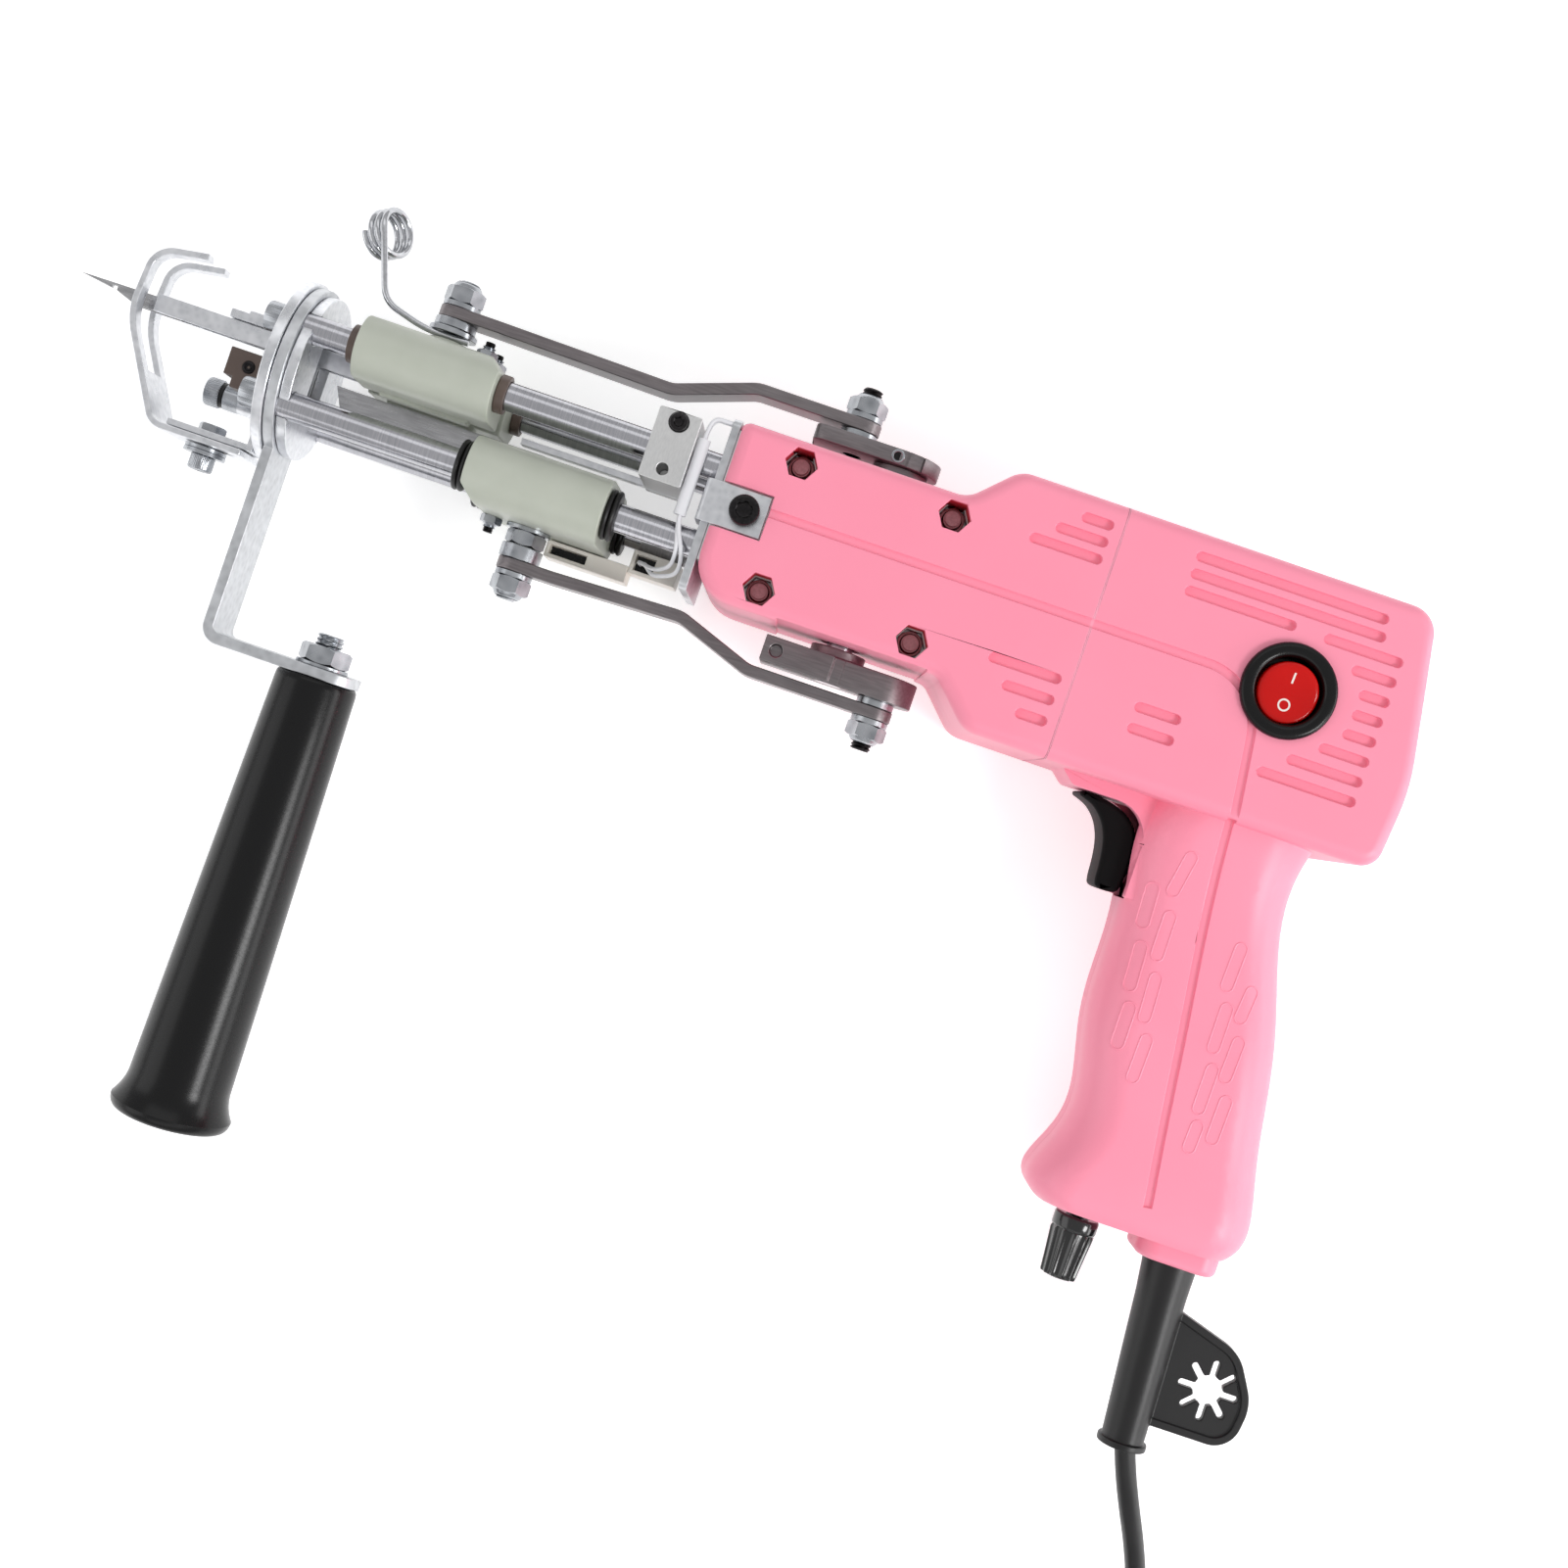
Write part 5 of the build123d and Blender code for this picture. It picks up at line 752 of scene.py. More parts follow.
stand_for(handle, "side_handle")
print("handle length", handle_length, "mm")

# %% [markdown]
# ## Nuts, washers and threads
# A nut is a hexagon whose corners are cut by a cone, so its flats end in small arcs. In the
# formula each corner falls away by how far it stands beyond the flats. A lock nut has a round
# collar on top for its nylon ring. A thread is a helix: the radius follows a triangle wave of the
# distance along less the turn.

# %% Nut, washer and thread


def nut(start, along, flats, bore, height, collar=0.0, sides=72):
    """A chamfered nut: corners fall by (reach - face) * tan 30, and a collar may stand on top."""
    t = np.linspace(0, 2 * np.pi, sides, endpoint=False)
    face = flats * 0.49
    fall = (hexagon_reach(t, flats) - face) * math.tan(math.radians(30))
    body = height - collar
    profile = [[0.4, bore], [0.0, bore + 0.4], [0.0, face], [0.5, face], [0.6, face], [body, face]]
    if collar:
        profile += [[body, face - 0.5], [height - 0.7, face - 0.9], [height - 0.2, face - 1.3],
                    [height, face - 1.9]]
    profile += [[height, bore + 0.4], [height - 0.4, bore]]
    row = np.arange(len(profile))[:, None]

    def corners(d, turn, r):
        return np.where((row == 3) | (row == 4), hexagon_reach(turn, flats), r)

    grid = turned(profile, start, along, sides, corners)
    way = np.array(along, float) / np.linalg.norm(along)
    grid[3] = grid[3] + way * ((fall - 0.5)[:, None] * MM)
    grid[4] = grid[4] + way * ((body - fall - 0.6)[:, None] * MM)
    return grid, True


def washer(start, along, outer, bore, thickness, sides=56):
    """A flat ring with its edges eased by a tenth of a millimetre."""
    ease = 0.12
    profile = [[ease, bore], [0, bore + ease], [0, outer - ease], [ease, outer], [thickness - ease, outer],
               [thickness, outer - ease], [thickness, bore + ease], [thickness - ease, bore]]
    return turned(profile, start, along, sides), True


def thread(start, along, radius, length, pitch, sides=36):
    """A threaded rod: radius less half a pitch times a triangle wave of distance / pitch - turn."""
    steps = int(length / pitch * 6) + 1
    d = np.linspace(0, length, steps)
    side = np.stack([d, d * 0 + radius], axis=1)[1:-1]
    rows = np.concatenate([[[0, 0], [0, radius - 0.5 * pitch]], side,
                           [[length, radius - 0.6 * pitch], [length, 0]]])

    def ridge(at, turn, r):
        wave = np.abs(((at / pitch - turn / (2 * np.pi)) % 1.0) - 0.5) * 2
        return np.where(r > radius - 0.01, r - 0.5 * pitch * wave, r)

    return turned(rows, start, along, sides, ridge), False


def rod(start, along, radius, length, ease=0.3, sides=48):
    """Plain round stock with eased ends."""
    profile = [[0, 0], [0, radius - ease], [ease, radius], [length - ease, radius],
               [length, radius - ease], [length, 0]]
    return turned(profile, start, along, sides), False


print("a chamfered M6 nut has", nut(spot(0, 0), (0, 0, 1), 10.0, 3.03, 5.0)[0].shape[0], "rows")

# %% [markdown]
# ## Trigger and needle crank
# Both are flat pieces with rounded rims, and one formula makes them. An outline moves inward by
# ease * (1 - sin a) while the level moves by ease * (1 - cos a), which is a quarter circle. The
# trigger's outline is a crescent, smoothed by cutting each corner at a quarter and three quarters.

# %% Slabs with rounded rims


def rounded_slab(outline, low, high, ease, place_of):
    """Rows of a slab between two levels with both rims rounded. Each face closes on its spine, the
    line half way between the outline's first points and its last ones."""
    onward = np.roll(outline, -1, axis=0)
    area = (outline[:, 0] * onward[:, 1] - outline[:, 1] * onward[:, 0]).sum()
    way = onward - np.roll(outline, 1, axis=0)
    way /= np.linalg.norm(way, axis=1)[:, None]
    inward = np.stack([-way[:, 1], way[:, 0]], axis=1) * np.sign(area)
    a = np.radians(np.linspace(0, 90, 6))
    rows = [(low + ease * (1 - math.cos(v)), ease * (1 - math.sin(v))) for v in a]
    rows += [(low + high - level, inset) for level, inset in reversed(rows)]
    spine = (outline + outline[::-1]) / 2
    grid = [place_of(*(outline + inward * inset).T, level) for level, inset in rows]
    return np.array([place_of(*spine.T, low), *grid, place_of(*spine.T, high)]), False


def lying(x, y, z):
    """Places of an outline seen from above at one height."""
    return np.stack([x, y, x * 0 + z + MID_PLANE], axis=-1) * MM


def standing(x, z, y):
    """Places of an outline seen along the barrel's width."""
    return np.stack([x, x * 0 + y, z + MID_PLANE], axis=-1) * MM


print("a slab's outline moves inward while its level rises, so both rims are quarter circles")

# %% Trigger
trigger_half = 8.3
trigger_rim = 1.4
smoothings = 3

crescent = np.array([
    (76.4, -40.2), (79.7, -39.7), (85.1, -40.3), (91.3, -42.4), (95.4, -46.8), (96.3, -52.9),
    (96.2, -58.8), (95.6, -63.2), (94.2, -64.5), (89.5, -64.6), (88.2, -63.4), (87.9, -57.1),
    (87.0, -51.4), (84.9, -46.6), (81.5, -43.2), (78.2, -41.9), (76.6, -41.5)])
for smoothing in range(smoothings):
    onto = np.roll(crescent, -1, axis=0)
    early = 0.75 * crescent + 0.25 * onto
    late = 0.25 * crescent + 0.75 * onto
    crescent = np.stack([early, late], axis=1).reshape(-1, 2)
trigger_grid = rounded_slab(crescent, -trigger_half, trigger_half, trigger_rim, lying)
stand_for(built("trigger_curved", [trigger_grid], satin_black), "trigger")
print("trigger outline points:", len(crescent))

# %% [markdown]
# The needle's crank is a bar of steel that tapers away from the shaft, with two small notches and
# the head of a grub screw in its edge. Its lower half mirrors the upper one.

# %% Needle crank
crank_low = 28.9
crank_high = 33.4
hub_low = 24.7
hub_radius = 8.0
screw_x = -2.0
screw_level = (crank_low + crank_high) / 2

far_corner = arc((-22.3, 5.8), 4.0, 180, 90, 7)
notched_edge = [(-12.0, 10.3), (0.7, 10.78), (0.8, 10.3), (1.2, 10.3), (1.3, 10.72), (5.0, 9.57),
                (5.1, 9.0), (5.5, 8.8), (5.6, 9.24)]
near_end = arc((0.0, 0.0), 10.8, 52, 0, 8)
upper = np.concatenate([far_corner, notched_edge, near_end])
bar = np.concatenate([upper, upper[-2::-1] * [1, -1]])
crank_grids = [rounded_slab(bar, crank_low, crank_high, 0.35, standing),
               rod(spot(0, hub_low), (0, 1, 0), hub_radius, crank_low - hub_low + 0.1),
               (*washer(spot(screw_x, screw_level, 10.5), (0, 0, 1), 1.9, 1.2, 0.45), bolt_zinc),
               (*rod(spot(screw_x, screw_level, 10.3), (0, 0, 1), 1.25, 0.4, 0.05), black_screw)]
stand_for(built("needle_crank_bar", crank_grids, rolled), "needle_crank")
print("needle crank outline points:", len(bar))

# %% [markdown]
# ## Bolts of the rods and cranks
# Each end of a connecting rod turns on a bolt. At the crank a spacer and washers hold the rod
# between them, and a lock nut ends the stack with a little thread beyond it. At the slider the bolt
# goes through the rod's end into a collar.

# %% Bolts of the cranks
throw = 14.5
rod_half = 1.7
m6_radius = 3.0
m6_thread = 2.95
m6_hole = 3.03
m6_flats = 10.0
m6_washer = 5.4
crank_play = 0.06
crank_washer = 1.6
crank_nut = 5.6
blade_crank_low = 27.2
blade_crank_high = 34.6


def crank_stack(way, x, root, face, level):
    """Bolt, spacer, washer and nut of one crank pin, stacked away from the crank's face. The level
    is the middle of the rod between them."""
    up = (0, way, 0)
    low = level - rod_half - crank_play
    high = level + rod_half + crank_play
    seat = high + crank_washer
    return [
        rod(spot(x, way * root), up, m6_radius, seat + 1.0 - root),
        washer(spot(x, way * face), up, m6_washer, m6_hole, low - face),
        washer(spot(x, way * high), up, m6_washer, m6_hole, crank_washer),
        nut(spot(x, way * seat), up, m6_flats, m6_hole, crank_nut, 1.3),
        (*thread(spot(x, way * (high + 2.0)), up, m6_thread, crank_nut + 1.7, 1.0), black_screw),
    ]


crank_hardware = crank_stack(1, -throw, crank_low, crank_high, 37.4)
crank_hardware += crank_stack(-1, throw, blade_crank_low, blade_crank_high, 38.3)
stand_for(built("crank_bolts_detailed", crank_hardware, bolt_zinc), "crank_bolts")
print("grids of the crank bolts:", len(crank_hardware))

# %% Bolts of the sliders
needle_pin_x = -132.5
blade_pin_x = -94.2
slider_play = 0.1
slider_washer = 1.5
slider_nut = 6.0


def slider_stack(way, x, seat, level):
    """Collar, washer, nut and thread of a rod's slider end. The level is the rod's middle."""
    up = (0, way, 0)
    low = level - rod_half - slider_play
    high = level + rod_half + slider_play
    top = high + slider_washer
    return [
        rod(spot(x, way * seat), up, m6_radius, top + 1.0 - seat),
        washer(spot(x, way * seat), up, 6.0, m6_hole, low - seat),
        washer(spot(x, way * high), up, m6_washer, m6_hole, slider_washer),
        nut(spot(x, way * top), up, m6_flats, m6_hole, slider_nut, 1.5),
        thread(spot(x, way * (top + 0.4)), up, m6_thread, slider_nut + 0.2, 1.0),
    ]


for name, node, stack in [
    ("needle_rod_bolt_detailed", "needle_rod_bolt", slider_stack(1, needle_pin_x, 26.1, 30.2)),
    ("blade_rod_bolt_detailed", "blade_rod_bolt", slider_stack(-1, blade_pin_x, 25.9, 31.6)),
]:
    stand_for(built(name, stack, bolt_zinc), node)
print("slider bolts at x", needle_pin_x, "and", blade_pin_x)

# %% [markdown]
# ## Nuts of the housing
# Four lock nuts close the housing's long screws. They sit deep in the pockets, and their steel is
# painted red and dark: painted shade, and a painted reflection of the pink walls.

# %% Nuts of the housing
nut_seat = 14.65
pocket_nuts = [nut(spot(x, y, nut_seat), (0, 0, 1), 6.9, 2.05, 5.0, 2.0) for x, y in screw_places]
stand_for(built("housing_nuts_detailed", pocket_nuts, pocket_shade_steel), "housing_nuts")
print("pocket nuts:", len(pocket_nuts))

# %% [markdown]
# ## Cap screws
# A cap screw's head is a short cylinder with a knurled side, which fingers can turn, and a
# hexagonal socket. The knurl adds a small wave around the side, and the socket's rows use the
# hexagon's reach in place of a circle. Three such screws hold the front disc to the rod ends. The
# fourth rod end carries a post, and a black ring and the last screw close it.

# %% Cap screws


def cap_screw(start, along, head, height, key, knurl=0.1, shank=0.0, shank_radius=0.0):
    """A cap screw's head from its seat: eased rims, a hexagonal socket, and knurls of the wave
    knurl * (|sin 20 t| - 1). A shank may reach back from the seat."""
    depth = height * 0.55
    profile = [[0, 0], [0, head - 0.25], [0.25, head], [height - 0.7, head], [height - 0.2, head - 0.25],
               [height, head - 0.8], [height, key / 2 + 0.35], [height - 0.3, key / 2],
               [height - depth, key / 2], [height - depth - key * 0.15, 0]]

    def shape(d, t, r):
        row = np.arange(len(profile))[:, None] + 0 * t
        side = (row == 2) | (row == 3)
        socket = (row == 7) | (row == 8)
        ridged = r + knurl * (np.abs(np.sin(t * 20)) - 1.0)
        return np.where(side, ridged, np.where(socket, hexagon_reach(t, key), r))

    grids = [(turned(profile, start, along, 160, shape), False)]
    if shank:
        grids.append(rod(start, tuple(-np.array(along)), shank_radius, shank))
    return grids


rod_y = 10.9
rod_z = 17.0
disc_front = -173.3
post_front = -188.3
post_reach = 4.9
ring_thick = 1.2
m5_head = 4.2
m5_key = 4.0
m5_radius = 2.5
forward = (-1, 0, 0)
toward_eye = (0, 0, 1)

post_end = post_front - post_reach
screws = []
for y, z in [(rod_y, rod_z), (rod_y, -rod_z), (-rod_y, rod_z)]:
    screws += cap_screw(spot(disc_front, y, z), forward, m5_head, 5.0, m5_key, 0.04, 2.9, m5_radius)
screws += cap_screw(spot(post_end - ring_thick, -rod_y, -rod_z), forward, m5_head, 4.6, m5_key, 0.14,
                    24.0, m5_radius)
screws += [rod(spot(post_front, -rod_y, -rod_z), forward, 3.9, post_reach, 0.2),
           (*washer(spot(post_end, -rod_y, -rod_z), forward, 3.7, 2.6, ring_thick), rubber)]
stand_for(built("rod_screws_detailed", screws, bolt_zinc), "rod_screws")
print("grids of the rod screws:", len(screws))

# %% [markdown]
# Three black screws face the eye. One closes the clamp block, one holds the small bracket, and a
# headless one, a grub screw, sits in the blade's block.

# %% Black screws
clamp_grids = cap_screw(spot(-61.0, 18.0, 24.05), toward_eye, 2.6, 3.0, 2.2, 0.05, 8.9, 1.5)
stand_for(built("clamp_screw_detailed", clamp_grids, black_screw), "clamp_screw")
bracket_grids = cap_screw(spot(-36.4, 0.7, 26.75), toward_eye, m5_head, 4.6, m5_key, 0.08, 10.0, m5_radius)
stand_for(built("bracket_screw_detailed", bracket_grids, black_screw), "bracket_screw")
grub_grids = cap_screw(spot(-182.8, -3.2, 4.3), toward_eye, 1.9, 0.7, 1.5, 0.0)
grub = built("blade_block_grub", grub_grids, black_screw)
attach(grub, nodes["guide_blocks"]["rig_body"])
print("black screws built: 3")

# %% [markdown]
# ## Foot bolt and handle stud
# The foot is clamped by a small cap screw from below with two washers. The side handle sits on a
# threaded stud, whose end shows above its nut.

# %% Foot bolt
foot_x = -188.2
foot_y = -27.0
foot_half = 0.9
foot_slack = 0.3
bracket_sheet = 1.8
washer_pair = 2.4
m4_radius = 2.0
m4_hole = 2.03
m4_nut = 2.4

foot_seat = foot_y - foot_half - foot_slack - washer_pair
foot_top = foot_y + foot_half + foot_slack + bracket_sheet + 0.05
foot_shank = foot_top + m4_nut - foot_seat
foot_hardware = cap_screw(spot(foot_x, foot_seat), (0, -1, 0), 3.5, 4.4, 3.0, 0.08, foot_shank, m4_radius)
foot_hardware += [
    washer(spot(foot_x, foot_seat + 0.05), (0, 1, 0), 6.0, m4_hole, 1.15),
    washer(spot(foot_x, foot_seat + 1.25), (0, 1, 0), 5.9, m4_hole, 1.15),
    nut(spot(foot_x, foot_top), (0, 1, 0), 7.0, m4_hole, m4_nut),
]
stand_for(built("foot_bolt_detailed", foot_hardware, bolt_zinc), "foot_bolt")
print("foot bolt seat at", round(foot_seat, 2))

# %% Handle stud
stud_low = handle_y - 29.7
stud_high = -67.0
strap_top = -78.2 + 1.55
m8_thread = 3.98
m8_hole = 4.05
m8_flats = 13.0

stud_hardware = [
    thread(spot(handle_x, stud_low), (0, 1, 0), m8_thread, stud_high - stud_low, 1.25, 40),
    washer(spot(handle_x, strap_top + 0.05), (0, 1, 0), 7.6, m8_hole, 1.0),
    nut(spot(handle_x, strap_top + 1.1), (0, 1, 0), m8_flats, m8_hole, 5.0),
]
stand_for(built("handle_stud_detailed", stud_hardware, bolt_zinc), "handle_stud")
print("stud length", round(stud_high - stud_low, 2), "mm")

# %% [markdown]
# ## Pins of the sliders
# The upper slider's pin clamps the yarn eyelet under a broad washer. The lower slider's pin ends in
# a thin washer and a hexagon. Beside its pin the upper slider has two small screws with lock nuts,
# and the lower slider has one.

# %% Slider pins


def small_stack(way, x, seat, z):
    """Lock nut of a small screw that ends in a black tip, and the shank below it."""
    up = (0, way, 0)
    return [
        rod(spot(x, way * (seat - 4.45), z), up, 1.5, 6.0),
        nut(spot(x, way * seat, z), up, 5.5, 1.52, 3.4, 1.1),
        (*thread(spot(x, way * (seat + 1.0), z), up, 1.48, 3.9, 0.5), black_screw),
    ]


wire_radius = 0.95
lift_off = 0.05
slider_top = rod_y + 8.9
boss = 2.4
eyelet_foot_y = slider_top + boss + wire_radius + lift_off
washer_low = eyelet_foot_y + wire_radius + lift_off
pin_root = rod_y + lift_off

needle_pin = [
    rod(spot(needle_pin_x, pin_root), (0, 1, 0), m6_radius, washer_low + slider_washer - pin_root),
    washer(spot(needle_pin_x, washer_low), (0, 1, 0), 7.0, m6_hole, slider_washer),
]
for z in (-8.0, 8.0):
    needle_pin += small_stack(1, -119.7, slider_top + lift_off, z)
stand_for(built("needle_slider_pin_detailed", needle_pin, bolt_zinc), "needle_slider_pin")

blade_seat = 20.2
blade_washer = 1.25
blade_pin = [
    washer(spot(blade_pin_x, -blade_seat - lift_off), (0, -1, 0), 6.5, m6_hole, blade_washer),
    nut(spot(blade_pin_x, -blade_seat - lift_off - blade_washer), (0, -1, 0), m6_flats, 2.9, 4.1),
    rod(spot(blade_pin_x, -25.5), (0, 1, 0), m6_radius, 13.3),
]
blade_pin += small_stack(-1, -105.3, blade_seat, 0.0)
stand_for(built("blade_slider_pin_detailed", blade_pin, bolt_zinc), "blade_slider_pin")
print("the upper pin's washer lies", round(washer_low, 2), "mm above the barrel's axis")

# %% [markdown]
# ## Rubber rings
# A pair of rounded rubber rings at each end of the lower slider softens its stops.

# %% Rubber rings
ring_half = 0.8
ring_edge = 6.2
ring_bore = 4.1

first_swell = arc((ring_half, ring_edge), (ring_half, 1.0), 180, 0, 7)
second_swell = arc((3 * ring_half, ring_edge), (ring_half, 1.0), 180, 0, 7)[1:]
ring_rows = np.concatenate([[[0.0, ring_bore]], first_swell, second_swell, [[4 * ring_half, ring_bore]]])
rings = []
for x in (-115.5, -72.7):
    for z in (rod_z, -rod_z):
        rings.append((turned(ring_rows, spot(x, -rod_y, z), (1, 0, 0), 48), True))
stand_for(built("blade_rings_turned", rings, rubber), "blade_rings")
print("rings built:", len(rings))

# %% [markdown]
# ## Paths and tubes
# The eyelet's wire and the electric wires are tubes: a circle carried along a path. At each point
# the path's direction and one steady side direction give the two axes of the circle.

# %% Tubes


def around(path, way, side, radius, sides):
    """Circles along a path: P + radius * (cos t * n + sin t * b), where b is square to the way and to
    the steady side, and n is square to both."""
    way = way / np.linalg.norm(way, axis=1)[:, None]
    b = np.cross(way, np.array(side, float))
    b /= np.linalg.norm(b, axis=1)[:, None]
    n = np.cross(b, way)
    t = np.linspace(0, 2 * np.pi, sides, endpoint=False)
    ring = np.cos(t)[None, :, None] * n[:, None] + np.sin(t)[None, :, None] * b[:, None]
    return path[:, None] + ring * radius * MM


def tube(path, radius, side, sides=16):
    """A round tube of circles along a path. Its ends are closed by a point on the path."""
    path = np.array(path, float)
    grid = around(path, np.gradient(path, axis=0), side, radius, sides)
    ends = [np.repeat(path[i][None, None], sides, axis=1) for i in (0, -1)]
    return np.concatenate([ends[0], grid, ends[1]]), False


def rounded_path(points, radius, steps=8):
    """Straight runs whose corners are quadratic arcs: (1-s)^2 A + 2 s (1-s) B + s^2 C around each
    corner B, where A and C lie the radius away from it on its two runs."""
    points = [np.array(p, float) for p in points]
    path = [points[0]]
    s = np.linspace(0, 1, steps)[:, None]
    for a, b, c in zip(points, points[1:], points[2:]):
        start = b + (a - b) / np.linalg.norm(a - b) * min(radius * MM, np.linalg.norm(a - b) * 0.45)
        end = b + (c - b) / np.linalg.norm(c - b) * min(radius * MM, np.linalg.norm(c - b) * 0.45)
        path += list((1 - s) ** 2 * start + 2 * s * (1 - s) * b + s ** 2 * end)
    return np.array(path + [points[-1]])


corner_test = rounded_path([spot(0, 0), spot(10, 0), spot(10, 10)], 4.0)
print("a corner rounded by 4 mm has", len(corner_test), "points")

# %% [markdown]
# ## Yarn eyelet
# Yarn reaches the needle through this coil of spring wire. Its foot is clamped under the pin's
# washer, the stem leans forward, and three close turns make the eye. The turns are a helix whose
# axis leans 60 degrees off the line of sight: across * r (1 - cos) + up * r sin + onward * pitch.

# %% Yarn eyelet
wire_z = 4.2
eye_radius = 6.2
eye_pitch = 2.4
eye_turns = 3.0
lean = math.radians(60.0)

foot = spot(-126.5, eyelet_foot_y, wire_z)
bend = spot(-139.5, eyelet_foot_y, wire_z)
heel = spot(-152.7, 26.9, wire_z)
middle = spot(-159.5, 46.5, wire_z)
stem = rounded_path([foot, bend, heel, middle], 4.5, 10)
up = (middle - heel) / np.linalg.norm(middle - heel)
side = np.array([up[1], -up[0], 0.0])
across = side * math.cos(lean) - np.array([0, 0, math.sin(lean)])
onward = -side * math.sin(lean) - np.array([0, 0, math.cos(lean)])
turn = np.linspace(0, eye_turns, 145)[1:, None]
round_eye = across * (1 - np.cos(2 * np.pi * turn)) + up * np.sin(2 * np.pi * turn)
coil = middle + MM * (round_eye * eye_radius + onward * eye_pitch * turn)
eyelet_path = np.concatenate([stem, coil])
eyelet = built("yarn_eyelet_wire", [tube(eyelet_path, wire_radius, (0, 0, 1))], spring)
stand_for(eyelet, "yarn_eyelet")
wire_length = np.linalg.norm(np.diff(eyelet_path, axis=0), axis=1).sum() / MM
print("eyelet wire", round(float(wire_length)), "mm long")

# %% [markdown]
# ## Switch
# The round switch snaps into the housing. Its frame is turned, with a soft rounded rim, and its
# red rocker is a disc whose face is a shallow valley: height = slope * sqrt(y * y + small).
# The two marks are the common signs for on and off.

# %% Switch frame
switch_x = 117.7
switch_y = 2.2
frame_top = 30.2

barrel = [[10.0, 0.0], [10.0, 9.9], [28.05, 9.9], [28.05, 13.2]]
frame_rim = [[29.0, 13.2], [29.6, 13.0], [30.0, 12.5], [frame_top, 11.9], [frame_top, 10.6],
             [30.0, 9.9], [29.5, 9.4], [28.9, 9.2]]
well = [[20.0, 9.2], [20.0, 0.0]]
bezel_grid = turned(barrel + frame_rim + well, spot(switch_x, switch_y), (0, 0, 1), 96)
stand_for(built("switch_bezel_turned", [(bezel_grid, False)], black), "switch_bezel")
print("switch frame's top", frame_top, "mm above the mid-plane")

# %% Rocker
tip = math.radians(7.0)
axle_depth = 4.5
lens_sunk = 1.6
axle = np.array([switch_x, switch_y, frame_top - lens_sunk - axle_depth])


def on_rocker(x, y, z):
    """A place on the rocker, tipped by seven degrees about its axle."""
    up_from_axle = z + axle_depth
    turned_y = y * math.cos(tip) - up_from_axle * math.sin(tip)
    turned_z = y * math.sin(tip) + up_from_axle * math.cos(tip)
    return (axle + np.stack([x, turned_y, turned_z], axis=-1) + [0, 0, MID_PLANE]) * MM


def valley(y):
    """Height of the rocker's face: the slope of seven degrees times sqrt(y * y + 0.16)."""
    return math.tan(tip) * (np.sqrt(y * y + 0.16) - 0.4)


t = np.linspace(0, 2 * np.pi, 96, endpoint=False)
lens_radius = 8.4
reach_rows = np.array([0.0, 2.0, 4.0, 6.0, 7.2, 7.9, 8.25, lens_radius, lens_radius, lens_radius])
drop_rows = np.array([0.0, 0.0, 0.0, 0.0, 0.0, 0.12, 0.4, 0.8, 2.4, 4.6])
x = reach_rows[:, None] * np.cos(t)
y = reach_rows[:, None] * np.sin(t)
rocker_top = on_rocker(x, y, valley(y) - drop_rows[:, None])
middle_row = np.zeros((1, len(t)))
under = on_rocker(middle_row, middle_row, middle_row - 6.8)
rocker = built("rocker_lens", [(np.concatenate([rocker_top, under]), False)], red)
stand_for(rocker, "rocker")
print("rocker's radius", lens_radius, "mm")

# %% [markdown]
# The bar and the ring of the two marks are printed, a film of paint a few hundredths thick. Each
# is a closed strip whose top follows the valley a little above it.

# %% Switch marks
across = np.array([-1.0, 1.0, 1.0, -1.0])
lift = np.array([0.05, 0.05, -0.1, -0.1])
bar_half = 1.5
bar_width = 0.54
ring_width = 0.5


def capped(grid):
    """A grid closed at both ends: its first and last rows drawn together into their middles."""
    return np.concatenate([grid[:1] * 0 + grid[0].mean(axis=0), grid, grid[:1] * 0 + grid[-1].mean(axis=0)])


along_bar = np.linspace(-bar_half, bar_half, 12)[:, None]
bar_x = across * bar_width / 2 + 0 * along_bar
bar_y = 4.2 + along_bar + 0 * across
bar = capped(on_rocker(bar_x, bar_y, valley(bar_y) + lift))
turn_o = np.linspace(0, 2 * np.pi, 40, endpoint=False)[:, None]
ring_r = 1.5 + across * ring_width / 2
ring_x = ring_r * np.cos(turn_o)
ring_y = -3.4 + ring_r * np.sin(turn_o)
ring_o = on_rocker(ring_x, ring_y, valley(ring_y) + lift)
marks = built("switch_marks", [(bar, False), (ring_o, True)], mark)
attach(marks, "rocker_button")
print("marks printed")

# %% [markdown]
# ## Speed knob
# The knob is a small tapered cap with a smooth rim and twelve ribs for the fingers. Each rib is
# the top of a cosine wave, raised to a power so that the ribs stand apart, and it fades in below
# the rim.

# %% Speed knob
knob_x = 115.7
knob_y = -153.9
ribs = 12
rib_height = 0.6
ribs_from = 4.0

knob_rim = [[0, 0], [0, 6.0], [0.3, 6.35], [0.7, 6.5], [3.6, 6.5], [4.1, 6.3], [4.4, 5.9], [5.0, 5.85]]
knob_side = [[8.0, 5.55], [12.0, 5.15], [16.6, 4.75], [17.4, 4.7], [17.9, 4.5], [18.2, 4.0]]
knob_end = [[18.0, 3.4], [17.7, 0]]


def knob_ribs(d, turn_k, r):
    """Adds rib_height * ((1 + cos 12 t) / 2) ^ 2, faded in over a millimetre below the rim."""
    rib = ((1 + np.cos(ribs * turn_k)) / 2) ** 2
    fade = np.clip((d - ribs_from) / 1.0, 0, 1) * (r > 4.2)
    return r + rib_height * rib * fade


